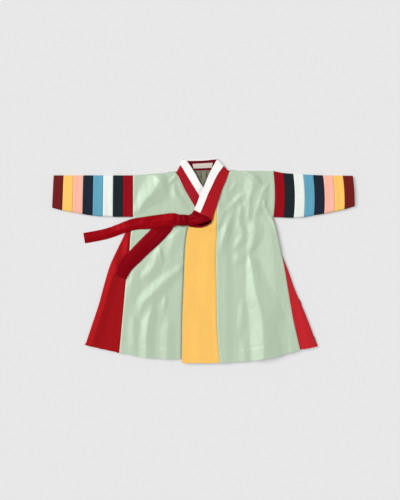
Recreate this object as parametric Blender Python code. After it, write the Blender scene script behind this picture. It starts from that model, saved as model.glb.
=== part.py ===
"""A small child's Korean overcoat (durumagi) with rainbow-striped sleeves, laid flat with its front up.

Plan sizes are in millimetres from the middle of the garment, +Y towards the collar, and heights are from
the table. Every cloth piece is a grid whose points are worked out from the outline tables and the layer
heights, then extruded inwards by the thickness of the cloth.
"""

import math
from collections import namedtuple

import bmesh
import bpy
import numpy as np
from mathutils import Vector

MM = 0.001

# Cloth and layers
CLOTH = 1.5  # satin and its lining together
COLLAR_CLOTH = 1.8  # satin over stiffening
STRIP_CLOTH = 1.0  # the white paper-backed neck strip
TIE_CLOTH = 1.8  # a tie is a pressed tube of satin
LABEL_CLOTH = 1.0
SEAM = 0.3  # what parts two pieces face to face
SEAM_INSET = 0.2  # each sewn edge stands back this far from its seam line
PUFF = 8.3  # the garment's height where one front lies over the back
MID = PUFF / 2
ROLL = MID - SEAM / 2  # outer radius of a side fold
GUSSET_DROP = 0.7  # a gusset lies this much lower than the panel beside it
LAP = 1.9  # the over front rises this much to clear the under front
COLLAR_LIFT = 2.1  # and this much more over the end of the under collar
CROSSING_LIFT = 1.7  # the over collar's rise where it crosses the under one and its white strip
COLLAR_REST = 0.4  # the over collar's clearance from the front it lies on
ROLL_STEPS = (0.18, 0.6, 1.1)  # where a rolled edge has its first grid lines, in radii
COLLAR_MID = 5.3  # height of the folds where the collar turns to the back
BACK_COLLAR_FLOOR = 1.8  # the collar behind the neck lies on its own white strip
HEM_LIFT = 3.0  # the back's hem stays this far inside the front's

# Sleeves
BANDS = ("red", "dark_green", "white", "blue", "navy", "pink", "yellow", "maroon")
SLEEVE_CROWN = 0.8  # how far a sleeve swells above PUFF
TABLE_STEPS, FOLD_STEPS, CROWN_STEPS = 3, 3, 5  # segments round a flattened tube

Point = namedtuple("Point", "x y")
Sleeve = namedtuple("Sleeve", "side armhole_x armhole_bow cuff_top_x cuff_bottom_x cuff_bow top bottom")
Fold = namedtuple("Fold", "path width height")
TieRow = namedtuple("TieRow", "x y half_width height")


def points(*pairs):
    return [Point(*pair) for pair in pairs]


# Outlines of the body, each from its top end down to the hem
SHOULDER_RIGHT = points((-71.5, 225.6), (-179, 217))
SHOULDER_LEFT = points((67.5, 229), (178, 228))
ARMHOLE_RIGHT = points((-179, 217), (-179, 180), (-179, 144), (-179, 111))
ARMHOLE_BOW = 4.0  # the left armhole seam bows out by this much
ARMHOLE_LEFT = [Point(178 + ARMHOLE_BOW * 4 * h * (1 - h), 228 - 118 * h) for h in np.linspace(0, 1, 17)]
SIDE_RIGHT = points(
    (-179, 111), (-192, 85), (-203, 62), (-220, 27), (-237, -10), (-253, -62), (-266, -110),
    (-284, -164), (-301, -215),
)  # fmt: skip
SIDE_LEFT_UPPER = points((178, 110), (186, 84), (192, 57), (197, 34), (200, 15))
SIDE_LEFT_LOWER = points((200, 15), (215, -23), (233, -74), (255, -125), (274, -173), (290, -219))
FRONT_SEAM_RIGHT = points(
    (-179, 111), (-182, 88), (-185, 65), (-188, 27), (-196, -42), (-205, -139), (-214, -235)
)
FRONT_SEAM_LEFT = points((200, 15), (207, -23), (214, -65), (228, -147), (246, -227))
BACK_SEAM_RIGHT = points((-179, 111), (-190, 65), (-208, 0), (-228, -100), (-256, -219 + HEM_LIFT))
BACK_SEAM_LEFT = points((178, 110), (181, 57), (185, -23), (193, -125), (204, -229 + HEM_LIFT))
CENTRE_BACK = points((-2, 228.4), (-2, 100), (-3, -100), (-3, -247))
BACK_TOP_RIGHT = points((-179, 217), (-71.5, 225.6), (-66, 227.4), (-2, 228.4))
BACK_TOP_LEFT = points((-2, 228.4), (56, 229.6), (62, 229.4), (67.5, 229), (178, 228))
BACK_COLUMNS = (0, 0.025, 0.16, 0.32, 0.48, 0.57, 0.608, 0.64, 0.69, 0.78, 0.9, 1)  # from armhole to centre
TIP_DEPTH = 19.0  # below an armpit a gusset is narrower than the rolled edge, so its rows are close here
TIP_ROWS = 4

# Fronts: the wearer's right front lies under, the left one over
UNDER_NECK = points((-71.5, 225.6), (-67.3, 219.5), (-61, 211), (-50, 194), (-40, 180))
UNDER_SEAM = points((-40, 180), (-40, 103), (-41, 40), (-42, -50), (-43, -152), (-44, -251))
UNDER_EDGE = points((-38, 177), (-15, 134), (18, 84), (44, 40), (48, -60), (50, -160), (52, -250))
OVER_NECK = points((67.5, 229), (64.6, 222.5), (59.5, 214), (47, 190), (34, 150))
OVER_SEAM = points((34, 150), (34, 91), (32, 11), (33, -65), (34, -157), (41, -261))
OVER_EDGE = points(
    (-29, 114), (-39, 82), (-45, 45), (-48, -4), (-50, -62), (-53, -126), (-54, -190), (-55, -261)
)
UNDER_HEM_SAG = 5.0
OVER_HEM_SAG = 8.0
BACK_HEM_SAG = 5.0

# The collar and its white strip, from the shoulder fold down: outer edge, line of the strip, neck edge
OVER_COLLAR_OUTER = points((66, 228), (56, 200), (47, 180), (40, 159), (34, 139), (27, 119), (20, 97))
OVER_COLLAR_MIDDLE = points((52.9, 242), (38, 221), (23, 190), (14, 170), (5, 149), (-5, 126))
OVER_COLLAR_NECK = points((36, 260), (15, 221), (2, 190), (-8, 170), (-15, 149), (-24, 129), (-31, 97))
OVER_STRIP_NECK = OVER_COLLAR_NECK[:-1]
UNDER_COLLAR_OUTER = points((-70, 226), (-59, 205), (-47, 180), (-35, 159), (-22, 137), (0, 97))
UNDER_COLLAR_MIDDLE = points((-59, 245), (-42, 221), (-32, 200), (-19, 180), (-9, 164), (-2, 151))
UNDER_COLLAR_NECK = points(
    (-53, 255.5), (-45, 255.3), (-40, 251), (-21, 221), (-10, 200), (1, 183), (14, 159), (36, 117)
)
UNDER_STRIP_NECK = [*UNDER_COLLAR_NECK[:6], Point(9, 168), Point(16, 156)]
RIGHT_TURN = points((-70, 226), (-53, 255.5))
LEFT_TURN = points((36, 260), (66, 228))
BACK_COLLAR_TOP = points((-53.8, 254), (-20, 254), (6, 255), (37, 258.9))
BACK_COLLAR_FOOT = points((-68.7, 228.3), (-60, 228.2), (-30, 228.4), (20, 229.4), (55, 230.2), (63.2, 231))
BACK_STRIP_TOP = points((-51.7, 257.8), (-20, 257), (6, 258), (35.1, 261))
BACK_STRIP_FOOT = points((-61.9, 240), (-20, 238), (6, 238), (52.9, 242))
LABEL_TOP = points((-28, 246), (24, 249))
LABEL_FOOT = points((-26, 234), (22, 236))

SLEEVES = (
    Sleeve("right", -179, 0, -381, -385, 0,
           points((-385, 217), (-179, 217)),
           points((-385, 134), (-357, 127), (-330, 122), (-280, 114), (-231, 111), (-179, 111))),
    Sleeve("left", 178, ARMHOLE_BOW, 380, 385, 1.5,
           points((178, 228), (205, 223), (230, 221), (282, 218), (308, 217), (385, 216)),
           points((178, 110), (255, 110), (282, 115), (308, 119), (333, 124), (359, 130), (385, 138))),
)  # fmt: skip

# The largest folds in the two fronts, each a soft ridge along its path
UNDER_FOLDS = (
    Fold(points((-130, 206), (-147, 174), (-160, 140), (-172, 118)), 13, 3.5),
    Fold(points((-118, 203), (-104, 175)), 12, 2.0),
    Fold(points((-84, 196), (-76, 166), (-54, 136)), 10, 2.5),
    Fold(points((-108, 30), (-122, 10), (-128, -19), (-150, -44)), 10, 2.8),
    Fold(points((-58, -14), (-85, -38), (-115, -63), (-143, -92), (-162, -126), (-169, -140)), 11, 4.0),
    Fold(points((-134, -124), (-147, -146), (-153, -176), (-153, -245)), 10, 3.5),
    Fold(points((-103, -186), (-103, -245)), 10, 2.2),
    Fold(points((-183, -150), (-186, -235)), 9, 1.6),
)
OVER_FOLDS = (
    Fold(points((100, 224), (141, 194)), 9, 2.0),
    Fold(points((109, 208), (108, 180), (106, 148), (109, 97)), 10, 3.0),
    Fold(points((88, 180), (68, 154), (50, 128)), 10, 3.0),
    Fold(points((73, 129), (59, 100), (48, 65), (44, 24)), 10, 3.0),
    Fold(points((90, 126), (87, 103), (92, 78), (75, 40)), 10, 3.0),
    Fold(points((143, 180), (136, 139), (129, 106)), 10, 3.2),
    Fold(points((122, 88), (118, 52), (115, 14), (118, -43), (123, -91), (129, -139), (134, -187),
                (137, -255)), 12, 4.5),
    Fold(points((157, 90), (158, 37), (164, -43), (167, -91), (176, -149)), 14, 2.6),
    Fold(points((158, 126), (175, 97), (190, 46), (191, 14), (200, -43), (213, -100), (225, -145)), 9, 1.8),
)  # fmt: skip
YELLOW_FOLDS = (
    Fold(points((8, 60), (2, -20), (-4, -90)), 18, 0.8),
    Fold(points((-22, -120), (-16, -240)), 16, 0.8),
)
BACK_CREASES = (
    Fold(points((-14, 222), (-6, 196), (-3, 168)), 5, 1.2),
    Fold(points((16, 222), (8, 196), (2, 168)), 5, 1.4),
)
FOLD_END = 22.0  # a ridge runs out over this length

# The ties: the long tail drops off the side onto the table, the other lies across the front
LONG_TAIL = (
    TieRow(-55, 103, 10.5, 15.0), TieRow(-68.5, 103, 10.5, 15.0), TieRow(-76, 103, 14.5, 14.7),
    TieRow(-86, 101, 17, 14.0), TieRow(-99, 99, 17, 13.1), TieRow(-112, 98, 17, 12.8),
    TieRow(-128, 96, 16.5, 12.9), TieRow(-150, 95, 15.5, 12.0), TieRow(-166, 94, 15, 10.6),
    TieRow(-182, 91, 14.5, 10.6), TieRow(-194, 87, 14, 10.5), TieRow(-202, 84, 14, 9.6),
    TieRow(-210, 81, 13.5, 6.0), TieRow(-219, 78, 13.5, 2.8), TieRow(-229, 74, 13.5, TIE_CLOTH),
    TieRow(-252, 67, 13.5, TIE_CLOTH), TieRow(-276, 62, 13.5, TIE_CLOTH), TieRow(-304, 57, 13.5, TIE_CLOTH),
)  # fmt: skip
SHORT_TAIL = (
    TieRow(-55, 103, 6.5, 12.7), TieRow(-70, 102, 7, 12.7), TieRow(-81, 97, 11, 11.6),
    TieRow(-92, 88, 16, 10.7), TieRow(-106.5, 76.5, 19.5, 10.6), TieRow(-128.5, 55.5, 20.5, 10.6),
    TieRow(-152.5, 32.5, 20, 10.6), TieRow(-175, 10, 19.5, 10.6), TieRow(-197, -10, 20.5, 10.6),
    TieRow(-212.5, -40.5, 17.5, 10.5),
)  # fmt: skip
ROOT_TOP = points((-50, 109), (-37, 110), (-28, 115), (-14, 118), (-2, 116), (10, 111), (18, 104))
ROOT_FOOT = points((-50, 96), (-37, 94.5), (-28, 87), (-14, 82), (-2, 83), (10, 88), (19, 96))
ROOT_HEIGHT = 17.0
KNOT_X = (-68.0, -38.5)
KNOT_Y = (88.0, 117.0)
KNOT_Z = (8.7, 19.3)
TAIL_CLEAR = 10.0  # the cloth lies flat under a tail and for this far beside it

COLOURS = {
    "sage_green": (0.47, 0.59, 0.44),
    "yellow_satin": (0.93, 0.54, 0.13),
    "red_satin": (0.30, 0.006, 0.012),
    "gusset_red": (0.33, 0.012, 0.014),
    "white_strip": (0.90, 0.88, 0.86),
    "label_cream": (0.70, 0.60, 0.54),
    "red": (0.29, 0.006, 0.012),
    "dark_green": (0.014, 0.022, 0.026),
    "white": (0.84, 0.87, 0.83),
    "blue": (0.12, 0.37, 0.50),
    "navy": (0.016, 0.022, 0.037),
    "pink": (0.95, 0.47, 0.36),
    "yellow": (0.97, 0.57, 0.14),
    "maroon": (0.156, 0.015, 0.014),
}


def clear_scene():
    for thing in list(bpy.data.objects):
        bpy.data.objects.remove(thing)


def satin(name):
    """The dyed cloth of that name."""
    made = bpy.data.materials.get(name)
    if made is None:
        made = bpy.data.materials.new(name)
        made.use_nodes = True
        shader = made.node_tree.nodes["Principled BSDF"]
        shader.inputs["Base Color"].default_value = (*COLOURS[name], 1)
        shader.inputs["Roughness"].default_value = 0.55
        shader.inputs["Metallic"].default_value = 0
    return made


def smooth(value):
    value = min(1.0, max(0.0, value))
    return value * value * (3 - 2 * value)


def length_of(path):
    return sum(math.dist(a, b) for a, b in zip(path, path[1:]))


def along(path, share):
    """The point at that share of a path's length."""
    left = share * length_of(path)
    for start, end in zip(path, path[1:]):
        length = math.dist(start, end)
        if left <= length or end is path[-1]:
            return Vector(start).lerp(Vector(end), min(1.0, left / length))
        left -= length


def x_at(path, y):
    rows = sorted(path, key=lambda point: point.y)
    return float(np.interp(y, [point.y for point in rows], [point.x for point in rows]))


def y_at(path, x):
    rows = sorted(path)
    return float(np.interp(x, [point.x for point in rows], [point.y for point in rows]))


def edge(*legs, rolled=False):
    """Points down an edge. Each leg is a path and the number of steps it is cut into."""
    spots = [along(legs[0][0], 0)]
    for number, (path, steps) in enumerate(legs):
        shares = stations(length_of(path), steps, rolled and number == 0, False)
        spots += [along(path, share) for share in shares[1:]]
    return spots


def split(path, y):
    """A downward path in two, above and below a height."""
    middle = Point(x_at(path, y), y)
    return [*(point for point in path if point.y > y), middle], [middle, *(point for point in path if point.y < y)]


def side_edge(path, steps):
    """An edge down from an armpit, or from the top of a gusset, with close rows at its start."""
    start, rest = split(path, path[0].y - TIP_DEPTH)
    return edge((start, TIP_ROWS), (rest, steps))


def armhole_edge(path, steps):
    """An armhole down from the shoulder fold, with a short last step into the armpit."""
    start, rest = split(path, path[-1].y + ROLL)
    return edge((start, steps), (rest, 1), rolled=True)


def nearest(path, x, y):
    """How far a point is from a path, the unit vector from the path to it, and the length run by then."""
    best = (math.inf, Vector((0, 0)), 0.0)
    run = 0.0
    for start, end in zip(path, path[1:]):
        step = Vector((end.x - start.x, end.y - start.y))
        part = min(1.0, max(0.0, ((x - start.x) * step.x + (y - start.y) * step.y) / step.length_squared))
        away = Vector((x - start.x, y - start.y)) - part * step
        if away.length < best[0]:
            best = (away.length, away.normalized() if away.length > 1e-4 else Vector((0, 0)), run + part * step.length)
        run += step.length
    return best


def ridges(folds, x, y):
    """The height that soft ridges add at a point."""
    height = 0.0
    for fold in folds:
        away, _, run = nearest(fold.path, x, y)
        ends = smooth(run / FOLD_END + 0.35) * smooth((length_of(fold.path) - run) / FOLD_END + 0.35)
        height += fold.height * ends * math.exp(-((away / fold.width) ** 2))
    return height


CLOSED_EDGES = (SHOULDER_RIGHT, SHOULDER_LEFT, SIDE_RIGHT, SIDE_LEFT_UPPER + SIDE_LEFT_LOWER[1:])


def roll(radius, x, y, inwards):
    """Near a closed edge the cloth turns down round a half circle: how high it is, from 0 at the edge
    to 1, and which way its outer face looks in plan."""
    distance, direction, _ = min((nearest(edge, x, y) for edge in CLOSED_EDGES), key=lambda near: near[0])
    if direction.length < 0.5:
        direction = inwards
    lean = max(0.0, 1 - distance / radius)
    return math.sqrt(1 - lean * lean), -direction * lean


def flat(x, y):
    return 0.0


def under_top(x, y):
    """The folds in the wearer's right front, flat where the collar, the over front or a tie presses it."""
    beside_yellow = smooth((x_at(OVER_EDGE, y) - 2 - x) / 10)
    beside_collar = smooth((x_at(UNDER_COLLAR_OUTER, y) - 1 - x) / 8)
    tie = min(nearest([Point(r.x, r.y) for r in rows], x, y)[0] for rows in (LONG_TAIL, SHORT_TAIL))
    beside_tie = smooth((tie - 21) / TAIL_CLEAR)
    return ridges(UNDER_FOLDS, x, y) * beside_yellow * beside_collar * beside_tie


def over_lift(x, y):
    """How far the wearer's left front stands above PUFF, over what lies under it."""
    over_lap = smooth((78 - x) / 24) * smooth((212 - y) / 30)
    over_collar = smooth((52 - math.dist((x, y), (10, 118))) / 18)
    return LAP * over_lap, COLLAR_LIFT * over_collar


def over_top(x, y):
    beside_collar = smooth((x - x_at(OVER_COLLAR_OUTER, y) - 1) / 8)
    beside_seam = smooth(nearest(OVER_SEAM, x, y)[0] / 7)
    return sum(over_lift(x, y)) + ridges(OVER_FOLDS, x, y) * beside_collar * beside_seam


def yellow_top(x, y):
    beside_seam = smooth(nearest(OVER_SEAM, x, y)[0] / 10)
    return sum(over_lift(x, y)) + ridges(YELLOW_FOLDS, x, y) * beside_seam


def back_creases(x, y):
    return ridges(BACK_CREASES, x, y)


def over_collar_floor(x, y):
    """The underside of the over collar: on the over front, and higher where it crosses the under one."""
    lap, over_collar = over_lift(x, y)
    crossing = CROSSING_LIFT * smooth((54 - math.dist((x, y), (2, 170))) / 20)
    return PUFF + COLLAR_REST + lap + max(over_collar, crossing)


def under_collar_floor(x, y):
    return PUFF + SEAM


def over_strip_floor(x, y):
    return over_collar_floor(x, y) + COLLAR_CLOTH + SEAM


def under_strip_floor(x, y):
    return under_collar_floor(x, y) + COLLAR_CLOTH + SEAM


def stations(length, count, rolled_start, rolled_end):
    """Where a grid line has its points, as shares of its length: close together round a rolled edge."""
    reach = ROLL * min(1.0, length / (2.6 * ROLL)) / length
    head = [0.0, *(step * reach for step in ROLL_STEPS if rolled_start)]
    tail = [*(1 - step * reach for step in reversed(ROLL_STEPS) if rolled_end), 1.0]
    first, last = head[-1], tail[0]
    return head + [first + (last - first) * i / count for i in range(1, count)] + tail


def thick_sheet(name, cloth, columns, rows, place, tube=False):
    """A grid of cloth. place(i, j) gives a point of its outer face and the step to its inner face."""
    mesh = bmesh.new()
    bmesh.ops.create_grid(mesh, x_segments=columns, y_segments=rows, size=0.5)
    inward = mesh.verts.layers.float_vector.new("inward")
    for vert in mesh.verts:
        i = round((vert.co.x + 0.5) * columns)
        j = round((0.5 - vert.co.y) * rows)
        outer, step = place(i, j)
        vert.co = outer * MM
        vert[inward] = step * MM
    if tube:
        bmesh.ops.remove_doubles(mesh, verts=mesh.verts, dist=1e-6)
    made = bmesh.ops.extrude_face_region(mesh, geom=mesh.faces[:], use_keep_orig=True)
    for vert in (item for item in made["geom"] if isinstance(item, bmesh.types.BMVert)):
        vert.co += vert[inward]
    bmesh.ops.triangulate(mesh, faces=mesh.faces)
    bmesh.ops.recalc_face_normals(mesh, faces=mesh.faces)
    data = bpy.data.meshes.new(name)
    mesh.to_mesh(data)
    mesh.free()
    data.materials.append(satin(cloth))
    data.shade_smooth()
    data.set_sharp_from_angle(angle=math.radians(40))
    GARMENT.objects.link(bpy.data.objects.new(name, data))


def panel(name, cloth, left, right, columns, surface, rolled="", sewn="", sag=0.0, face=1, radius=ROLL,
          top=None):  # fmt: skip
    """A body panel between the points of its left and right edges, from the top down. rolled and sewn
    name its sides by letter (l, r, t): a rolled side lies on the garment's outline and a sewn one
    stands back from its seam. face is 1 for the front layer and -1 for the back."""
    run = np.cumsum([0.0, *((b - a).length for a, b in zip(left, left[1:]))])
    run /= run[-1]

    def shares(width):
        return stations(width, columns, "l" in rolled, "r" in rolled) if isinstance(columns, int) else columns

    def place(i, j):
        unit = (right[j] - left[j]).normalized()
        start = left[j] + unit * (SEAM_INSET if "l" in sewn else 0)
        end = right[j] - unit * (SEAM_INSET if "r" in sewn else 0)
        width = (end - start).length
        share = shares(width)[i]
        spot = start.lerp(end, share)
        spot.y -= sag * 4 * share * (1 - share) * run[j] ** 4
        if top:
            spot += (along(top, share) - left[0].lerp(right[0], share)) * (1 - run[j]) ** 6
        inwards = unit if share < 0.5 else -unit
        if "t" in rolled and j == 0:
            inwards = Vector((0, -1))
        height, lean = roll(radius, spot.x, spot.y, inwards)
        raised = surface(spot.x, spot.y) * height
        inner = Vector((-lean.x, -lean.y, -face * height)) * CLOTH
        outer = Vector((spot.x, spot.y, MID + face * (SEAM / 2 + radius * height)))
        if face > 0:
            outer.z += raised
        else:
            inner.z += raised
        return outer, inner

    thick_sheet(name, cloth, len(shares(100.0)) - 1, len(left) - 1, place)


def body():
    low = ROLL - GUSSET_DROP
    over_seam = edge((OVER_SEAM, 24))
    under_seam = edge((UNDER_SEAM, 24))
    right_seam = side_edge(FRONT_SEAM_RIGHT, 16)
    left_seam = side_edge(FRONT_SEAM_LEFT, 12)
    back_seam_right = side_edge(BACK_SEAM_RIGHT, 9)
    back_seam_left = side_edge(BACK_SEAM_LEFT, 9)
    centre_back = edge((CENTRE_BACK, 18), rolled=True)
    panel("front_right", "sage_green", edge((ARMHOLE_RIGHT, 8), rolled=True) + right_seam[1:],
          edge((UNDER_NECK, 4), rolled=True) + under_seam[1:], 16, under_top, "t", "lr",
          UNDER_HEM_SAG)  # fmt: skip
    panel("overlap_right", "sage_green", under_seam, edge((UNDER_EDGE, 24)), 4, flat, "", "l")
    panel("front_left", "sage_green", edge((OVER_NECK, 5), rolled=True) + over_seam[1:],
          edge((ARMHOLE_LEFT, 8), (SIDE_LEFT_UPPER, 5), rolled=True) + left_seam[1:], 17, over_top, "t", "lr",
          OVER_HEM_SAG)  # fmt: skip
    panel("overlap_left", "yellow_satin", edge((OVER_EDGE, 24)), over_seam, 6, yellow_top, "", "r")
    panel("gusset_right_front", "gusset_red", side_edge(SIDE_RIGHT, 16)[1:], right_seam[1:], 3, flat,
          "l", "r", radius=low)  # fmt: skip
    panel("gusset_left_front", "gusset_red", left_seam[1:], side_edge(SIDE_LEFT_LOWER, 12)[1:], 2, flat,
          "r", "l", radius=low)  # fmt: skip
    panel("back_right", "sage_green", armhole_edge(ARMHOLE_RIGHT, 4) + back_seam_right[1:],
          centre_back, BACK_COLUMNS, back_creases, "t", "lr", BACK_HEM_SAG, face=-1,
          top=BACK_TOP_RIGHT)  # fmt: skip
    panel("back_left", "sage_green", centre_back, armhole_edge(ARMHOLE_LEFT, 4) + back_seam_left[1:],
          [1 - share for share in reversed(BACK_COLUMNS)], back_creases, "t", "lr", BACK_HEM_SAG,
          face=-1, top=BACK_TOP_LEFT)  # fmt: skip
    panel("gusset_right_back", "gusset_red", side_edge(SIDE_RIGHT, 9)[1:], back_seam_right[1:], 2, flat,
          "l", "r", face=-1)  # fmt: skip
    panel("gusset_left_back", "gusset_red", back_seam_left[1:],
          side_edge(SIDE_LEFT_UPPER + SIDE_LEFT_LOWER[1:], 9)[1:], 3, flat, "r", "l", face=-1)  # fmt: skip


def flattened_ring(low, high, floor, roof, crown):
    """Outer points (y, z) and inward directions round a flattened tube, closed on its first point."""
    radius = (roof - floor) / 2
    middle = (roof + floor) / 2
    run = high - low - 2 * radius
    loop = []
    for n in range(TABLE_STEPS + 1):
        loop.append((low + radius + run * n / TABLE_STEPS, floor, 0.0, 1.0))
    for n in range(1, FOLD_STEPS):
        turn = math.pi * n / FOLD_STEPS
        loop.append((high - radius + radius * math.sin(turn), middle - radius * math.cos(turn),
                     -math.sin(turn), math.cos(turn)))  # fmt: skip
    for n in range(CROWN_STEPS + 1):
        share = n / CROWN_STEPS
        loop.append((high - radius - run * share, roof + crown * math.sin(math.pi * share), 0.0, -1.0))
    for n in range(1, FOLD_STEPS):
        turn = math.pi * n / FOLD_STEPS
        loop.append((low + radius - radius * math.sin(turn), middle + radius * math.cos(turn),
                     math.sin(turn), -math.cos(turn)))  # fmt: skip
    return [*loop, loop[0]]


AROUND = TABLE_STEPS + CROWN_STEPS + 2 * FOLD_STEPS


def sleeve_band(sleeve, number, colour):
    """One striped band of a sleeve: a flattened tube between two seams."""
    sign = 1 if sleeve.cuff_top_x > 0 else -1

    def seam_x(share, height):
        top = sleeve.armhole_x + share * (sleeve.cuff_top_x - sleeve.armhole_x)
        bottom = sleeve.armhole_x + share * (sleeve.cuff_bottom_x - sleeve.armhole_x)
        bow = sleeve.armhole_bow + share * (sleeve.cuff_bow - sleeve.armhole_bow)
        return bottom + height * (top - bottom) + sign * bow * 4 * height * (1 - height)

    def place(i, j):
        share = (number + j) / len(BANDS)
        low = y_at(sleeve.bottom, seam_x(share, 0))
        high = y_at(sleeve.top, seam_x(share, 1))
        y, z, inward_y, inward_z = flattened_ring(low, high, 0, PUFF, SLEEVE_CROWN)[i]
        at_cuff = number == len(BANDS) - 1 and j == 1
        at_armhole = number == 0 and j == 0
        stand = 0.0 if at_cuff else -SEAM_INSET if j else SEAM_INSET * (2 if at_armhole else 1)
        x = seam_x(share, (y - low) / (high - low)) + sign * stand
        return Vector((x, y, z)), Vector((0, inward_y, inward_z)) * CLOTH

    thick_sheet(f"sleeve_{sleeve.side}_band_{number + 1}_{colour}", colour, AROUND, 1, place, tube=True)


def sleeves():
    for sleeve in SLEEVES:
        for number, colour in enumerate(BANDS):
            sleeve_band(sleeve, number, colour)


def turned(turn, spot, inset, radius):
    """Beside the line where the collar turns over: a piece's height, from 0 at the turn to 1, and the
    way it leans. inset is how far the piece stays inside the turn."""
    start, end = (Vector(point) for point in turn)
    normal = Vector((end.y - start.y, start.x - end.x)).normalized()
    lean = max(0.0, 1 - max(0.0, (spot - start).dot(normal) - inset) / radius)
    return math.sqrt(1 - lean * lean), normal * lean


def shifted(turn, spot, inset):
    start, end = (Vector(point) for point in turn)
    return spot + Vector((end.y - start.y, start.x - end.x)).normalized() * inset


def front_strip(name, cloth, outer_edge, neck_edge, turn, size, floor, thickness, inset=0.0):
    """A stretch of collar from its turn down. floor(x, y) is the height of its underside."""
    columns, rows = size
    down = stations(min(length_of(outer_edge), length_of(neck_edge)), rows, True, False)

    def place(i, j):
        spot = along(outer_edge, down[j]).lerp(along(neck_edge, down[j]), i / columns)
        spot = shifted(turn, spot, inset * max(0.0, 1 - 6 * down[j]))
        radius = floor(spot.x, spot.y) + thickness - COLLAR_MID - SEAM / 2
        height, lean = turned(turn, spot, inset, radius)
        outer = Vector((spot.x, spot.y, COLLAR_MID + SEAM / 2 + radius * height))
        return outer, Vector((lean.x, lean.y, -height)) * thickness

    thick_sheet(name, cloth, columns, len(down) - 1, place)


def back_strip(name, cloth, top, foot, size, floor, thickness, inset=0.0):
    """The stretch of collar behind the neck, which turns up at both ends to meet the front ones."""
    columns, rows = size
    across = stations(length_of(top), columns, True, True)

    def place(i, j):
        turn = RIGHT_TURN if across[i] < 0.5 else LEFT_TURN
        spot = along(top, across[i]).lerp(along(foot, across[i]), j / rows)
        spot = shifted(turn, spot, inset * max(0.0, 1 - 6 * min(across[i], 1 - across[i])))
        radius = COLLAR_MID - SEAM / 2 - floor
        height, lean = turned(turn, spot, inset, radius)
        outer = Vector((spot.x, spot.y, COLLAR_MID - SEAM / 2 - radius * height))
        return outer, Vector((lean.x, lean.y, height)) * thickness

    thick_sheet(name, cloth, len(across) - 1, rows, place)


def collar():
    inside = STRIP_CLOTH + SEAM
    front_strip("collar_right", "red_satin", UNDER_COLLAR_OUTER, UNDER_COLLAR_NECK, RIGHT_TURN, (3, 10),
                under_collar_floor, COLLAR_CLOTH, inside)  # fmt: skip
    front_strip("collar_left", "red_satin", OVER_COLLAR_OUTER, OVER_COLLAR_NECK, LEFT_TURN, (4, 12),
                over_collar_floor, COLLAR_CLOTH, inside)  # fmt: skip
    back_strip("collar_back", "red_satin", BACK_COLLAR_TOP, BACK_COLLAR_FOOT, (6, 2),
               BACK_COLLAR_FLOOR, COLLAR_CLOTH, inside)  # fmt: skip
    front_strip("neck_strip_right", "white_strip", UNDER_COLLAR_MIDDLE, UNDER_STRIP_NECK, RIGHT_TURN,
                (2, 9), under_strip_floor, STRIP_CLOTH)  # fmt: skip
    front_strip("neck_strip_left", "white_strip", OVER_COLLAR_MIDDLE, OVER_STRIP_NECK, LEFT_TURN,
                (2, 11), over_strip_floor, STRIP_CLOTH)  # fmt: skip
    back_strip("neck_strip_back", "white_strip", BACK_STRIP_TOP, BACK_STRIP_FOOT, (6, 1), 0.0, STRIP_CLOTH)

    def place(i, j):
        spot = along(LABEL_TOP, i / 4).lerp(along(LABEL_FOOT, i / 4), j)
        top = BACK_COLLAR_FLOOR + COLLAR_CLOTH + SEAM + LABEL_CLOTH
        return Vector((spot.x, spot.y, top)), Vector((0, 0, -LABEL_CLOTH))

    thick_sheet("neck_label", "label_cream", 4, 1, place)


def tail(name, rows, steps):
    """A pressed satin tie along its rows, flat side down."""

    def at(share):
        spot = min(share, 1.0) * (len(rows) - 1)
        n = min(int(spot), len(rows) - 2)
        return [a + (spot - n) * (b - a) for a, b in zip(rows[n], rows[n + 1])]

    def place(i, j):
        x, y, half_width, height = at(j / steps)
        before, after = at(max(0, j - 1) / steps), at((j + 1) / steps)
        heading = Vector((after[0] - before[0], after[1] - before[1])).normalized()
        side = Vector((-heading.y, heading.x)) * half_width * (1 - 2 * i / 3)
        return Vector((x + side.x, y + side.y, height)), Vector((0, 0, -TIE_CLOTH))

    thick_sheet(name, "red_satin", 3, steps, place)


def ties():
    tail("tie_long_tail", LONG_TAIL, 2 * (len(LONG_TAIL) - 1))
    tail("tie_short_tail", SHORT_TAIL, 2 * (len(SHORT_TAIL) - 1))

    def root(i, j):
        spot = along(ROOT_TOP, i / 6).lerp(along(ROOT_FOOT, i / 6), j / 3)
        swell = 1.2 * math.sin(math.pi * j / 3) * math.sin(math.pi * i / 6)
        return Vector((spot.x, spot.y, ROOT_HEIGHT + swell)), Vector((0, 0, -TIE_CLOTH))

    thick_sheet("tie_root", "red_satin", 6, 3, root)

    def knot(i, j):
        x = KNOT_X[0] + (KNOT_X[1] - KNOT_X[0]) * j / 3
        waist = 1.2 * (2 * j / 3 - 1) ** 2
        y, z, inward_y, inward_z = flattened_ring(KNOT_Y[0] + waist, KNOT_Y[1] - waist, *KNOT_Z, 0.8)[i]
        return Vector((x, y, z)), Vector((0, inward_y, inward_z)) * TIE_CLOTH

    thick_sheet("tie_knot", "red_satin", AROUND, 3, knot, tube=True)


clear_scene()
GARMENT = bpy.data.collections.new("striped sleeve overcoat")
bpy.context.scene.collection.children.link(GARMENT)
body()
sleeves()
collar()
ties()
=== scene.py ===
import math

import bmesh
import bpy
import numpy as np
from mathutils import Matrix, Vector, noise


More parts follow.
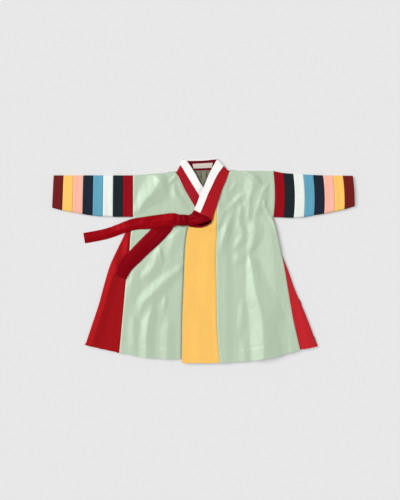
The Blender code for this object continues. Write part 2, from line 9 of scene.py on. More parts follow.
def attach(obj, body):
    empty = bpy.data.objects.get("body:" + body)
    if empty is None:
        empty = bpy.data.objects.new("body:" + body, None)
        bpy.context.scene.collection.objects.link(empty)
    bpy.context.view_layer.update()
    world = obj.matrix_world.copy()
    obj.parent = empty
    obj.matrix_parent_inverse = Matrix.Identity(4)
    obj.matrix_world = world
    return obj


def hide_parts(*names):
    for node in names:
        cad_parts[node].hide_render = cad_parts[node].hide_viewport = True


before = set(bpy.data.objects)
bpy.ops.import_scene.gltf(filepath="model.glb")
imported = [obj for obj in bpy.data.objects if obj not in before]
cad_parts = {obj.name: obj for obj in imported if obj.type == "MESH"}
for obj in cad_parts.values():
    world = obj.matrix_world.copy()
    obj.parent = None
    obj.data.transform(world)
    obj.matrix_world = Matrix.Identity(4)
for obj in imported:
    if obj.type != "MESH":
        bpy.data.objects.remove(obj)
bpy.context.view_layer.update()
mm = 0.001
print("frame loaded:", len(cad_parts), "pieces")

# how thick each kind of piece is
cloth = {"body": 1.5, "collar": 1.8, "strip": 1.0, "tie": 1.8, "label": 1.0}
layers = {
    "puff": 8.3,  # height of a front over the back
    "seam": 0.3,
    "seamInset": 0.2,
    "gussetDrop": 0.7,
    "lap": 1.9,  # the over front's rise over the under one
    "collarLift": 2.1,  # and more over the end of the under collar
    "crossingLift": 1.7,
    "collarRest": 0.4,
    "collarTurn": 5.3,  # height of the folds where the collar turns to the back
    "backCollar": 1.8,
    "hemLift": 3.0,
}
middle = layers["puff"] / 2
rollRadius = middle - layers["seam"] / 2
rolledStart = (0, 0.25, 0.9, 1.8, 2.8, 3.9, 5.2)  # close grid lines at a rolled edge
sewnStart = (0, 0.5, 1.1, 2.0)  # and at a seam
freeStart = (0, 0.5, 1.4)
armpitDepth = 19  # the rows are closer from the armpit to this far below it
closeShare = 2.4  # a strip narrower than this many times its close lines has them closer still
detail = 6  # how many times finer than the CAD the rows are


# lines in plan
def lengths(path):
    return np.concatenate([[0.0], np.cumsum(np.hypot(*np.diff(path[:, :2], axis=0).T))])


def curve(*pairs, steps=7):
    # a smooth line through its points; further columns are smoothed with them
    rows = np.array(pairs, float)
    if len(rows) < 3:
        return rows
    run = lengths(rows)
    gaps = np.diff(run)[:, None]
    slopes = np.diff(rows, axis=0) / gaps
    inner = (slopes[:-1] * gaps[1:] + slopes[1:] * gaps[:-1]) / (gaps[:-1] + gaps[1:])
    tangents = np.vstack([slopes[:1], inner, slopes[-1:]])
    t = np.linspace(0, 1, steps, endpoint=False)[:, None]
    made = []
    for n, gap in enumerate(gaps[:, 0]):
        made.append(
            (2 * t**3 - 3 * t**2 + 1) * rows[n]
            + (t**3 - 2 * t**2 + t) * gap * tangents[n]
            + (3 * t**2 - 2 * t**3) * rows[n + 1]
            + (t**3 - t**2) * gap * tangents[n + 1]
        )
    return np.vstack([*made, rows[-1:]])


def along(path, shares):
    run = lengths(path)
    return np.stack([np.interp(np.asarray(shares) * run[-1], run, column) for column in path.T], axis=-1)


def xAt(path, y):
    order = np.argsort(path[:, 1])
    return np.interp(y, path[order, 1], path[order, 0])


def yAt(path, x):
    order = np.argsort(path[:, 0])
    return np.interp(x, path[order, 0], path[order, 1])


def nearestOn(path, x, y):
    # distance from a line, length run by then, which side (1 is the left), and the unit step away from it
    best = np.full(np.shape(x), np.inf)
    run, side, awayX, awayY = (np.zeros(np.shape(x)) for _ in range(4))
    done = 0.0
    for (ax, ay), (bx, by) in zip(path[:-1, :2], path[1:, :2]):
        size = math.hypot(bx - ax, by - ay)
        ux, uy = (bx - ax) / size, (by - ay) / size
        part = np.clip((x - ax) * ux + (y - ay) * uy, 0, size)
        dx, dy = x - ax - part * ux, y - ay - part * uy
        away = np.hypot(dx, dy)
        nearer = away < best
        safe = np.maximum(away, 1e-9)
        best = np.where(nearer, away, best)
        run = np.where(nearer, done + part, run)
        side = np.where(nearer, (ux * dy - uy * dx) / safe, side)
        awayX, awayY = np.where(nearer, dx / safe, awayX), np.where(nearer, dy / safe, awayY)
        done += size
    return best, run, side, np.stack([awayX, awayY], axis=-1)


def smooth(value):
    value = np.clip(value, 0, 1)
    return value * value * (3 - 2 * value)


def spread(widths, columns, head, tail):
    # where each row has its columns, as shares of its width; head and tail are in millimetres
    widths = np.asarray(widths, float)[:, None]
    head, tail = np.array(head, float)[None], np.array(tail, float)[None]
    room = np.minimum(1, widths / (closeShare * max(head[0, -1] + tail[0, -1], 0.1)))
    first, last = head * room / widths, 1 - tail[:, ::-1] * room / widths
    between = first[:, -1:] + (last[:, :1] - first[:, -1:]) * np.linspace(0, 1, columns + 1)[None, 1:-1]
    return np.hstack([first, between, last])


def edge(*legs, head=(0,)):
    # points down an edge; each leg is a line and the number of steps it is cut into
    made = []
    for number, (path, steps) in enumerate(legs):
        shares = spread([lengths(path)[-1]], steps * detail, head if number == 0 else (0,), (0,))[0]
        made.append(along(path[:, :2], shares)[0 if number == 0 else 1 :])
    return np.vstack(made)


def parted(path, y):
    spot = np.array([[xAt(path, y), y]])
    return np.vstack([path[path[:, 1] > y], spot]), np.vstack([spot, path[path[:, 1] < y]])


def sideEdge(path, steps):
    upper, lower = parted(path, path[0, 1] - armpitDepth)
    return edge((upper, 4), (lower, steps))


def armholeEdge(path, steps):
    upper, lower = parted(path, path[-1, 1] + rollRadius)
    return edge((upper, steps), (lower, 1), head=rolledStart)


# folds and creases
def ramp(share):
    # from 0 to 1 with lightly rounded ends, so that a flank is lit evenly and has a crisp edge
    return 0.3 * smooth(share) + 0.7 * np.clip(share, 0, 1)


def foldHeight(folds, x, y):
    # a fold rises over its lit flank, on the viewer's left of a line drawn downwards, and falls away past it
    height = np.zeros(np.shape(x))
    for fall, rows in folds:
        line = curve(*rows, steps=4)
        away, run, side, _ = nearestOn(line, x, y)
        width = np.interp(run, lengths(line), line[:, 2])
        rise = np.interp(run, lengths(line), line[:, 3])
        across = 0.5 + side * away / width
        height += rise * np.where(across < 1, ramp(across), 1 - ramp((across - 1) / fall))
    return height


def ripple(x, y, across, down, seed):
    # slow uneven waves between -1 and 1
    values = [noise.noise(Vector((a / across, b / down, seed))) for a, b in zip(np.ravel(x), np.ravel(y))]
    return np.reshape(values, np.shape(x))


def seamRelief(distance, run):
    # a pressed seam: a groove, the turnings under the cloth beside it, and a slight pucker
    pucker = 0.10 * np.sin(run / 2.3) * np.sin(run / 7.1 + 1) * np.exp(-distance / 3.5)
    return pucker - 0.45 * np.exp(-((distance / 0.9) ** 2)) + 0.22 * smooth((9.5 - distance) / 2.5)


# materials
def nodeGroup(name, inputs, outputs):
    group = bpy.data.node_groups.new(name, "ShaderNodeTree")
    for label, kind, value in inputs:
        socket = group.interface.new_socket(name=label, in_out="INPUT", socket_type=kind)
        if value is not None:
            socket.default_value = value
    for label, kind in outputs:
        group.interface.new_socket(name=label, in_out="OUTPUT", socket_type=kind)
    return group, group.nodes.new("NodeGroupInput"), group.nodes.new("NodeGroupOutput")


def addNode(tree, kind, links=(), **settings):
    # links are (input socket name or number, source socket or value)
    node = tree.nodes.new(kind)
    for key, value in settings.items():
        setattr(node, key, value)
    for socket, value in links:
        if isinstance(value, bpy.types.NodeSocket):
            tree.links.new(value, node.inputs[socket])
        else:
            node.inputs[socket].default_value = value
    return node


def mathNode(tree, operation, a, b, clamp=False):
    return addNode(tree, "ShaderNodeMath", [(0, a), (1, b)], operation=operation, use_clamp=clamp).outputs[0]


def noiseNode(tree, vector, scale, detailLevel):
    links = [("Vector", vector), ("Scale", scale), ("Detail", detailLevel)]
    return addNode(tree, "ShaderNodeTexNoise", links)


def buildWeave():
    # staggered long floats of satin: a height for each thread, and thread-to-thread shade
    tree, start, end = nodeGroup(
        "satinWeave",
        [("Vector", "NodeSocketVector", None), ("Thread", "NodeSocketFloat", 0.0004)],
        [("Height", "NodeSocketFloat"), ("Shade", "NodeSocketFloat")],
    )
    threads = mathNode(tree, "DIVIDE", 1.0, start.outputs["Thread"])
    spot = addNode(
        tree, "ShaderNodeVectorMath", [(0, start.outputs["Vector"]), ("Scale", threads)], operation="SCALE"
    )
    floats = addNode(
        tree,
        "ShaderNodeTexBrick",
        [("Vector", spot.outputs[0]), ("Scale", 1.0), ("Mortar Size", 0.16), ("Mortar Smooth", 0.9),
         ("Brick Width", 6.0), ("Row Height", 1.0)],
        offset=0.4, offset_frequency=2, squash=1.0,
    )  # fmt: skip
    stretched = addNode(
        tree, "ShaderNodeVectorMath", [(0, spot.outputs[0]), (1, (0.05, 0.9, 0.9))], operation="MULTIPLY"
    )
    slubs = noiseNode(tree, stretched.outputs[0], 1.0, 2.0)
    raised = mathNode(tree, "SUBTRACT", 1.0, floats.outputs["Fac"])
    height = mathNode(tree, "MULTIPLY", raised, mathNode(tree, "ADD", slubs.outputs[0], 0.4))
    tree.links.new(height, end.inputs["Height"])
    tree.links.new(slubs.outputs[0], end.inputs["Shade"])
    return tree


def buildDye():
    # slow and fine variation in the dyed colour
    tree, start, end = nodeGroup(
        "dyeVariation",
        [("Colour", "NodeSocketColor", (0.5, 0.5, 0.5, 1)), ("Vector", "NodeSocketVector", None),
         ("Amount", "NodeSocketFloat", 0.06), ("Shade", "NodeSocketFloat", 0.5)],
        [("Colour", "NodeSocketColor")],
    )  # fmt: skip
    clouds = noiseNode(tree, start.outputs["Vector"], 9.0, 3.0)
    flecks = noiseNode(tree, start.outputs["Vector"], 420.0, 2.0)
    total = mathNode(tree, "ADD", clouds.outputs[0], mathNode(tree, "MULTIPLY", flecks.outputs[0], 0.5))
    total = mathNode(tree, "ADD", total, mathNode(tree, "MULTIPLY", start.outputs["Shade"], 0.7))
    change = mathNode(tree, "MULTIPLY", mathNode(tree, "SUBTRACT", total, 1.1), start.outputs["Amount"])
    tinted = addNode(
        tree, "ShaderNodeVectorMath",
        [(0, start.outputs["Colour"]), ("Scale", mathNode(tree, "ADD", change, 1.0))], operation="SCALE",
    )  # fmt: skip
    tree.links.new(tinted.outputs[0], end.inputs["Colour"])
    return tree


def buildCrumple():
    # the small uneven creases that are left in pressed satin
    tree, start, end = nodeGroup(
        "softCrumple",
        [("Vector", "NodeSocketVector", None), ("Scale", "NodeSocketFloat", 60.0),
         ("Stretch", "NodeSocketVector", (1.0, 0.45, 1.0))],
        [("Height", "NodeSocketFloat")],
    )  # fmt: skip
    pulled = addNode(
        tree, "ShaderNodeVectorMath",
        [(0, start.outputs["Vector"]), (1, start.outputs["Stretch"])], operation="MULTIPLY",
    )  # fmt: skip
    creases = addNode(
        tree, "ShaderNodeTexNoise",
        [("Vector", pulled.outputs[0]), ("Scale", start.outputs["Scale"]), ("Detail", 4.0), ("Roughness", 0.55),
         ("Distortion", 0.6)],
    )  # fmt: skip
    tree.links.new(creases.outputs[0], end.inputs["Height"])
    return tree


weaveGroup, dyeGroup, crumpleGroup = buildWeave(), buildDye(), buildCrumple()


def groupNode(tree, group, **values):
    node = addNode(tree, "ShaderNodeGroup", node_tree=group)
    for label, value in values.items():
        if isinstance(value, bpy.types.NodeSocket):
            tree.links.new(value, node.inputs[label])
        else:
            node.inputs[label].default_value = value
    return node


redShine = (0.9, 0.03, 0.05)
fineRed = {"sheen": 0.15, "thread": 0.0004}


def satin(slot, colour, **changes):
    # thread is a thread's width in metres, grain turns the weave in degrees, and shine tints the highlights
    plain = {"roughness": 0.38, "sheen": 0.1, "gloss": 0.5, "thread": 0.00045, "grain": 0, "shine": colour}
    return {"slot": slot, "colour": colour, **plain, **changes}


finishes = {
    "sageSatin": satin("sage_green", (0.465, 0.572, 0.425), roughness=0.34, gloss=1.0, shine=(0.85, 1.0, 0.88)),
    # the garment's own green on its inner faces, darkened as painted shade where the back shows inside the neck
    "sageLining": satin("sage_green", (0.178, 0.180, 0.128), roughness=0.55, sheen=0.15, thread=0.0005),
    "yellowSatin": satin("yellow_satin", (0.93, 0.54, 0.13), roughness=0.42, sheen=0.2),
    "collarRed": satin("red_satin", (0.37, 0.010, 0.015), gloss=0.8, shine=redShine, **fineRed, grain=62),
    # near-black red: the tie's shadow on the collar's tuck, painted in
    "tieShadowPaintedRed": satin("red_satin", (0.035, 0.001, 0.003), roughness=0.6, gloss=0.2, sheen=0.0,
                       thread=0.0004, grain=62),
    # the collar's red darkened: painted shade inside the neck
    "innerRed": satin("red_satin", (0.15, 0.005, 0.012), roughness=0.45, **fineRed),
    "underCollarRed": satin("red_satin", (0.36, 0.012, 0.021), **fineRed, grain=-60),
    "tieRed": satin("red_satin", (0.24, 0.001, 0.004), roughness=0.36, gloss=0.8, shine=redShine,
                    **fineRed, grain=10),
    # the tie's red darkened as painted shade, for the knot, root, short tail and the collar's turned end
    "tieRedPaintedShade": satin("red_satin", (0.18, 0.001, 0.005), roughness=0.36, gloss=0.7, shine=redShine,
                     thread=0.0004, grain=40),
    "gussetRed": satin("gusset_red", (0.295, 0.007, 0.009), roughness=0.40, gloss=0.9,
                       shine=(0.95, 0.02, 0.03), sheen=0.15),
    # the gusset red lightened: painted light on the gusset that lies towards the viewer's right
    "gussetBright": satin("gusset_red", (0.50, 0.020, 0.026), roughness=0.42, sheen=0.15),
    "stripWhite": satin("white_strip", (0.90, 0.89, 0.87), roughness=0.45, thread=0.00035, grain=60),
    "labelCream": satin("label_cream", (0.62, 0.56, 0.50), roughness=0.7, thread=0.0006),
    "bandRed": satin("red", (0.29, 0.006, 0.012)),
    "bandDarkGreen": satin("dark_green", (0.014, 0.022, 0.026)),
    "bandWhite": satin("white", (0.80, 0.83, 0.79)),
    "bandBlue": satin("blue", (0.115, 0.355, 0.485)),
    "bandNavy": satin("navy", (0.016, 0.022, 0.037)),
    "bandPink": satin("pink", (0.95, 0.47, 0.36)),
    "bandYellow": satin("yellow", (0.97, 0.57, 0.14)),
    "bandMaroon": satin("maroon", (0.156, 0.015, 0.014)),
}  # fmt: skip
madeMaterials = {}


def finish(name):
    if name in madeMaterials:
        return madeMaterials[name]
    values = finishes[name]
    material = bpy.data.materials.new(name)
    material.use_nodes = True
    tree = material.node_tree
    shader = tree.nodes["Principled BSDF"]
    place = addNode(tree, "ShaderNodeTexCoord")
    turned = addNode(
        tree, "ShaderNodeMapping",
        [("Vector", place.outputs["Object"]), ("Rotation", (0, 0, math.radians(-values["grain"])))],
    )  # fmt: skip
    weave = groupNode(tree, weaveGroup, Vector=turned.outputs[0], Thread=values["thread"])
    crumple = groupNode(tree, crumpleGroup, Vector=turned.outputs[0], Scale=70.0)
    dye = groupNode(
        tree, dyeGroup, Colour=(*values["colour"], 1), Vector=place.outputs["Object"], Amount=0.10,
        Shade=weave.outputs["Shade"],
    )  # fmt: skip
    tree.links.new(dye.outputs[0], shader.inputs["Base Color"])
    gloss = addNode(
        tree, "ShaderNodeMapRange",
        [("Value", crumple.outputs[0]), ("From Min", 0.25), ("From Max", 0.75),
         ("To Min", values["roughness"] - 0.05), ("To Max", values["roughness"] + 0.07)],
    )  # fmt: skip
    tree.links.new(gloss.outputs[0], shader.inputs["Roughness"])
    creased = addNode(
        tree, "ShaderNodeBump", [("Height", crumple.outputs[0]), ("Strength", 0.5), ("Distance", 0.0012)]
    )
    woven = addNode(
        tree, "ShaderNodeBump",
        [("Height", weave.outputs["Height"]), ("Strength", 0.6), ("Distance", 0.00006),
         ("Normal", creased.outputs[0])],
    )  # fmt: skip
    tree.links.new(woven.outputs[0], shader.inputs["Normal"])
    shader.inputs["Sheen Weight"].default_value = values["sheen"]
    shader.inputs["Sheen Roughness"].default_value = 0.5
    shader.inputs["Sheen Tint"].default_value = (*values["colour"], 1)
    shader.inputs["Specular IOR Level"].default_value = values["gloss"]
    shader.inputs["Specular Tint"].default_value = (*values["shine"], 1)
    madeMaterials[name] = material
    return material


# shells
surfaces = {}  # the outer points of each piece, for its stitching


def dress(name, mesh, finishName, node=None):
    mesh.materials.append(finish(finishName))
    mesh.shade_smooth()
    mesh.set_sharp_from_angle(angle=math.radians(45))
    piece = bpy.data.objects.new(name, mesh)
    bpy.context.scene.collection.objects.link(piece)
    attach(piece, "root")
    if node:
        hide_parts(node)
    return piece


def closedMesh(name, points, faces):
    # a mesh from points in millimetres, with its faces turned outwards
    mesh = bpy.data.meshes.new(name)
    mesh.from_pydata((np.asarray(points) * mm).tolist(), [], faces)
    made = bmesh.new()
    made.from_mesh(mesh)
    bmesh.ops.recalc_face_normals(made, faces=made.faces)
    made.to_mesh(mesh)
    made.free()
    return mesh


def shell(node, outer, inward, finishName, tube=False, bevelled=True, lined=False):
    # a closed thin wall from its outer points and the steps to its inner ones, both rows by columns
    rows, columns = outer.shape[:2]
    index = np.arange(rows * columns).reshape(rows, columns)
    if tube:
        index = np.hstack([index, index[:, :1]])
    a, b, c, d = index[:-1, :-1], index[:-1, 1:], index[1:, 1:], index[1:, :-1]
    skin = np.stack([a, b, c, d], axis=-1).reshape(-1, 4)
    inside = skin[:, ::-1] + rows * columns

    def rim(line):
        return np.stack([line[1:], line[:-1], line[:-1] + rows * columns, line[1:] + rows * columns], axis=-1)

    rims = [rim(index[0]), rim(index[-1][::-1])]
    if not tube:
        rims += [rim(index[:, 0][::-1]), rim(index[:, -1])]
    points = np.vstack([outer.reshape(-1, 3), (outer + inward).reshape(-1, 3)])
    mesh = closedMesh(node + "_cloth", points, np.vstack([skin, inside, *rims]).tolist())
    piece = dress(node + "_cloth", mesh, finishName, node)
    # inner faces take the body's green darkened as painted shade
    if lined:
        mesh.materials.append(finish("sageLining"))
        slots = [0] * len(skin) + [1] * len(skin) + [0] * sum(map(len, rims))
        mesh.polygons.foreach_set("material_index", slots)
    if bevelled:
        bevel = piece.modifiers.new("turned edge", "BEVEL")
        bevel.width = 0.35 * mm
        bevel.segments = 2
        bevel.limit_method = "ANGLE"
        bevel.angle_limit = math.radians(60)
    surfaces[node] = outer
    return piece


# outlines of the body, each from its top end down to the hem
shoulderRight = curve((-71.5, 225.6), (-179, 217))
shoulderLeft = curve((67.5, 229), (178, 228))
armholeRight = curve((-179, 217), (-179, 111))
armholeLeft = np.array([(178 + 16 * h * (1 - h), 228 - 118 * h) for h in np.linspace(0, 1, 17)])
sideRight = curve((-179, 111), (-192, 85), (-203, 62), (-220, 27), (-237, -10), (-253, -62), (-266, -110),
                  (-284, -164), (-301, -215))  # fmt: skip
sideLeftUpper = curve((178, 110), (186, 84), (192, 57), (197, 34), (200, 15))
sideLeftLower = curve((200, 15), (215, -23), (233, -74), (255, -125), (274, -173), (290, -219))
sideLeft = np.vstack([sideLeftUpper, sideLeftLower[1:]])
frontSeamRight = curve((-179, 111), (-182, 88), (-185, 65), (-188, 27), (-196, -42),
                       (-205, -139), (-214, -235))
frontSeamLeft = curve((200, 15), (207, -23), (214, -65), (228, -147), (246, -227))
backSeamRight = curve((-179, 111), (-190, 65), (-208, 0), (-228, -100), (-256, -219 + layers["hemLift"]))
backSeamLeft = curve((178, 110), (181, 57), (185, -23), (193, -125), (204, -229 + layers["hemLift"]))
centreBack = curve((-2, 228.4), (-2, 100), (-3, -100), (-3, -247))
backTopRight = np.array([(-179, 217), (-71.5, 225.6), (-66, 227.4), (-2, 228.4)])
backTopLeft = np.array([(-2, 228.4), (56, 229.6), (62, 229.4), (67.5, 229), (178, 228)])
underNeck = curve((-71.5, 225.6), (-67.3, 219.5), (-61, 211), (-50, 194), (-40, 180))
underSeam = curve((-40, 180), (-40, 103), (-41, 40), (-42, -50), (-43, -152), (-44, -251))
underEdge = curve((-38, 177), (-15, 134), (18, 84), (44, 40), (48, -60), (50, -160), (52, -250))
overNeck = curve((67.5, 229), (64.6, 222.5), (59.5, 214), (47, 190), (34, 150))
overSeam = curve((34, 150), (34, 91), (32, 11), (33, -65), (34, -157), (41, -261))
overEdge = curve((-29, 114), (-39, 82), (-45, 45), (-48, -4), (-50, -62),
                 (-53, -126), (-54, -190), (-55, -261))
closedEdges = (shoulderRight, shoulderLeft, sideRight, sideLeft)
# how far each layer sags at the hem, and the turned hem's depth, step, groove and waves
hem = {"under": 5.0, "over": 8.0, "back": 5.0, "depth": 30.0, "step": 0.25, "groove": 0.25, "wave": 1.3}

# the collar, from the shoulder folds down
overCollarOuter = curve((66, 228), (56, 200), (47, 180), (40, 159), (34, 139), (27, 119), (20, 97))
overCollarMiddle = curve((52.9, 242), (37.5, 221), (22, 190), (12.5, 170), (4, 149), (-7.9, 121))
overCollarNeck = curve((36, 260), (15, 221), (2, 190), (-8, 170), (-15, 149), (-24, 129), (-31, 97))
collarEnd = {
    "x": (0, 0, 0, -1, -6),  # how far its lower end is drawn out, across its width
    "y": (-1, -9, -13.2, -13.6, -11),
    "rows": (0, 0.4, 0.9, 1.5, 2.1, 2.8, 3.5, 4.3, 5.2, 6.2, 7.4),  # close grid lines there
    "span": (-14, 20),  # where it is tucked under the tie, across
    "dropFrom": (97.5, 104.0),  # how high the tuck starts at the two sides of that span
    "dropOver": 6.5,
    "drop": 3.2,
    "edge": (4.6, 1.4),  # how wide the turned edge below the tuck is at the two sides
    "rim": 1.5,  # and how far it rises again
}
tieLift = {"spot": (5, 97), "reach": 40, "height": 4.2}  # the tie holds the collar's end up from the front
collarBow = {"height": 1.8, "dip": 7, "reach": 60, "fade": 50}
overStripNeck = curve((36, 260), (15, 221), (2, 190), (-8, 170), (-15, 149), (-24, 129))
underCollarOuter = curve((-70, 226), (-59, 205), (-47, 180), (-35, 159), (-22, 137), (0, 97))
underCollarMiddle = curve((-59, 244.5), (-45, 221.5), (-32, 200), (-19.6, 180), (-9.5, 163.6), (-2, 151))
underCollarNeck = curve((-53, 255.5), (-45, 255.3), (-40, 251), (-21, 221), (-10, 200), (1, 183),
                        (14, 159), (36, 117))
underStripNeck = curve((-53, 255.5), (-44, 255), (-40.5, 250.5), (-21, 221), (-10, 200), (1, 183),
                       (9, 168), (16, 156))
rightTurn = np.array([(-70, 226), (-53, 255.5)])
leftTurn = np.array([(36, 260), (66, 228)])

# folds: how far each falls away past its crest, as a share of its lit flank, then rows of that flank:
# the x and y of its middle, its width and its rise
underFolds = (
    (1.1, ((-120, 228, 22, 0), (-126, 210, 32, 3.8), (-140, 187, 36, 5.2), (-152, 171, 30, 4.8),
           (-164, 148, 20, 3.4), (-172, 129, 15, 1.9), (-177, 112, 12, 0))),
    (1.2, ((-129, 213, 13, 0), (-118, 198, 18, 2.2), (-105, 180, 15, 1.6), (-95, 167, 12, 0))),
    (1.2, ((-67, 224, 5, 0), (-75, 214, 7, 1.6), (-86, 203, 7, 1.6), (-94, 193, 5, 0))),
    (0.9, ((-81, 203, 10, 0), (-81, 186, 13, 2.0), (-78, 165, 14, 2.8), (-60, 143, 14, 2.8),
           (-43, 132, 10, 1.0), (-32, 129, 8, 0))),
    (1.0, ((-63, 200, 5, 0), (-59, 188, 7, 1.2), (-48, 168, 7, 1.0), (-39, 155, 5, 0))),
    (1.3, ((-120, 40, 10, 0), (-124, 21, 15, 2.0), (-130, -2, 17, 2.6), (-147, -28, 17, 2.4),
           (-159, -41, 13, 1.0), (-167, -49, 10, 0))),
    (1.2, ((-113, 44, 5, 0), (-114, 26, 6, 1.2), (-110, 4, 6, 1.0), (-108, -11, 5, 0))),
    (1.4, ((-85, 90, 13, 0), (-85, 70, 18, 1.7), (-87, 48, 18, 1.9), (-93, 26, 15, 1.2), (-100, 6, 12, 0))),
    (1.2, ((-48, -4, 8, 0), (-60, -14, 12, 1.5), (-88, -33, 16, 2.5), (-112, -52, 21, 3.3), (-138, -77, 23, 3.8),
           (-158, -98, 21, 3.3), (-168, -124, 17, 2.0), (-172, -148, 12, 0))),
    (1.2, ((-132, -98, 10, 0), (-141, -124, 16, 2.8), (-150, -156, 19, 3.8), (-155, -195, 20, 3.9),
           (-155, -233, 20, 3.6), (-155, -272, 19, 3.2))),
    (1.2, ((-100, -80, 5, 0), (-101, -96, 8, 1.6), (-104, -120, 8, 1.0), (-105, -136, 5, 0))),
    (1.3, ((-95, -139, 12, 0), (-99, -164, 18, 1.8), (-103, -190, 19, 2.5), (-102, -232, 19, 2.5),
           (-101, -272, 18, 2.1))),
    (1.4, ((-184, -134, 10, 0), (-185, -162, 14, 1.8), (-185, -206, 14, 1.8), (-185, -233, 12, 0.8))),
    (1.4, ((-187, -4, 12, 0), (-192, -62, 18, 1.8), (-200, -112, 15, 0))),
)  # fmt: skip
overFolds = (
    (1.8, ((98, 231, 6, 0), (106, 222, 8, 1.8), (121, 210, 9, 2.8), (137, 197, 8, 2.0), (147, 189, 6, 0))),
    (1.1, ((113, 222, 16, 0), (114, 204, 22, 2.7), (112, 180, 22, 3.4), (107, 158, 20, 3.2), (109, 132, 15, 2.4),
           (110, 112, 10, 1.4), (110, 97, 8, 0))),
    (1.3, ((101, 180, 8, 0), (94, 170, 10, 1.5), (70, 147, 11, 2.0), (54, 128, 10, 1.2), (43, 116, 8, 0))),
    (1.2, ((151, 200, 10, 0), (146, 186, 13, 1.7), (138, 160, 17, 3.0), (130, 132, 15, 2.5), (126, 110, 10, 0.8),
           (124, 98, 8, 0))),
    (1.2, ((167, 200, 5, 0), (160, 192, 7, 1.3), (152, 181, 7, 0.9), (147, 175, 5, 0))),
    (1.0, ((156, 160, 5, 0), (152, 146, 7, 1.9), (155, 130, 8, 2.0), (169, 106, 8, 2.0), (185, 76, 8, 1.8),
           (194, 48, 8, 1.5), (199, 20, 8, 1.0), (203, -5, 8, 0))),
    (1.1, ((76, 146, 10, 0), (69, 129, 14, 2.1), (56, 94, 15, 2.8), (46, 64, 15, 2.5), (39, 34, 13, 1.2),
           (37, 15, 10, 0))),
    (1.1, ((92, 149, 10, 0), (89, 132, 13, 1.9), (84, 112, 13, 2.1), (86, 88, 13, 2.3), (92, 66, 14, 2.3),
           (80, 42, 13, 1.6), (68, 24, 10, 0))),
    (1.1, ((121, 108, 14, 0), (120, 88, 22, 3.2), (118, 55, 20, 3.5), (115, 33, 13, 2.4), (113, 14, 7, 0.7),
           (113, 5, 5, 0))),
    (1.8, ((113, 16, 7, 0), (114, -4, 13, 3.4), (117, -37, 18, 5.2), (119, -70, 23, 6.6), (122, -93, 27, 7.8),
           (128, -125, 31, 9.0), (132, -150, 34, 9.8), (135, -208, 35, 10.2), (136, -268, 35, 9.6))),
    (1.2, ((155, 112, 24, 0), (156, 72, 32, 2.4), (162, -10, 36, 2.8), (166, -62, 36, 2.8), (170, -120, 33, 2.0),
           (180, -158, 30, 0))),
    (1.4, ((79, 27, 13, 0), (78, 5, 18, 2.2), (75, -14, 13, 0))),
    (1.4, ((95, -92, 10, 0), (92, -120, 13, 1.6), (90, -162, 13, 1.6), (88, -188, 10, 0))),
    (1.4, ((93, -198, 10, 0), (96, -228, 15, 2.0), (97, -264, 15, 1.6))),
    (1.2, ((83, 203, 8, 0), (73, 190, 9, 1.4), (64, 172, 8, 0))),
    (1.4, ((198, -148, 20, 0), (206, -182, 23, 2.2), (213, -228, 23, 2.2))),
)  # fmt: skip
gussetFolds = (
    (1.0, ((-193, 66, 6, 0), (-199, 46, 11, 2.0), (-203, 12, 12, 2.0), (-206, -6, 9, 0))),
    (1.6, ((-219, 12, 8, 0), (-227, -8, 12, 1.8), (-243, -60, 13, 2.2), (-257, -110, 13, 2.2), (-275, -164, 13, 2.0),
           (-291, -214, 13, 1.6))),
    (1.2, ((233, -90, 8, 0), (247, -150, 12, 1.2), (262, -214, 14, 1.2))),
)
yellowFolds = (
    (1.4, ((6, 70, 22, 0), (0, 20, 28, 1.1), (-6, -60, 28, 1.1), (-10, -120, 22, 0))),
    (1.4, ((-26, -110, 22, 0), (-24, -180, 26, 1.1), (-22, -250, 26, 0.9))),
)
backFolds = (
    (0.6, ((-24, 236, 9, 0), (-15, 219, 9, 4.6), (-8, 200, 8, 4.8), (-4, 168, 6, 0))),
    (0.6, ((3, 236, 5, 0), (2, 218, 6, 4.4), (-1, 197, 5, 4.4), (-2, 174, 4, 0))),
    (0.8, ((22, 236, 8, 0), (17, 219, 8, 4.8), (9, 198, 7, 4.6), (1, 172, 6, 0))),
    (1.2, ((-40, 120, 24, 0), (-70, 60, 30, 1.2), (-90, -20, 32, 1.4), (-120, -120, 30, 0))),
    (1.2, ((60, 110, 24, 0), (80, 20, 30, 1.2), (96, -80, 32, 1.4), (110, -180, 30, 0))),
    (1.2, ((-30, -60, 24, 0), (-40, -140, 30, 1.1), (-44, -220, 26, 0))),
    (1.2, ((130, 190, 16, 0), (140, 140, 20, 1.0), (146, 80, 20, 0))),
    (1.2, ((-130, 190, 16, 0), (-142, 140, 20, 1.0), (-150, 70, 20, 0))),
)

# the ties: x, y, half width, height of the top
longTail = curve(
    (-55, 104, 10.5, 15.0), (-65, 105.5, 12.5, 15.0), (-71, 105, 15.5, 15.0), (-78, 103.5, 17.3, 14.7),
    (-86, 102.2, 17.8, 14.0), (-99, 100.5, 17.8, 13.1), (-112, 99, 17.5, 12.9), (-128, 97.5, 17, 12.9),
    (-150, 95.5, 15.7, 12.0),
    (-166, 94, 15, 10.6), (-182, 91, 14.5, 10.6), (-194, 87, 14, 10.5), (-202, 84, 14, 9.6),
    (-210, 81, 13.5, 6.0), (-219, 78, 13.5, 2.8), (-229, 74, 13.5, 1.8), (-252, 67, 13.5, 1.8),
    (-276, 62, 13.5, 1.8), (-304, 57, 13.5, 1.8),
)  # fmt: skip
shortTail = curve(
    (-55, 103, 6.5, 12.7), (-70, 102, 7, 12.7), (-81, 97, 11, 11.6), (-92, 88, 16, 10.7),
    (-106.5, 76.5, 19.5, 10.6), (-128.5, 55.5, 20.5, 10.6), (-152.5, 32.5, 20, 10.6), (-175, 10, 19.5, 10.6),
    (-197, -10, 20.5, 10.6), (-212.5, -40.5, 17.5, 10.5),
)  # fmt: skip


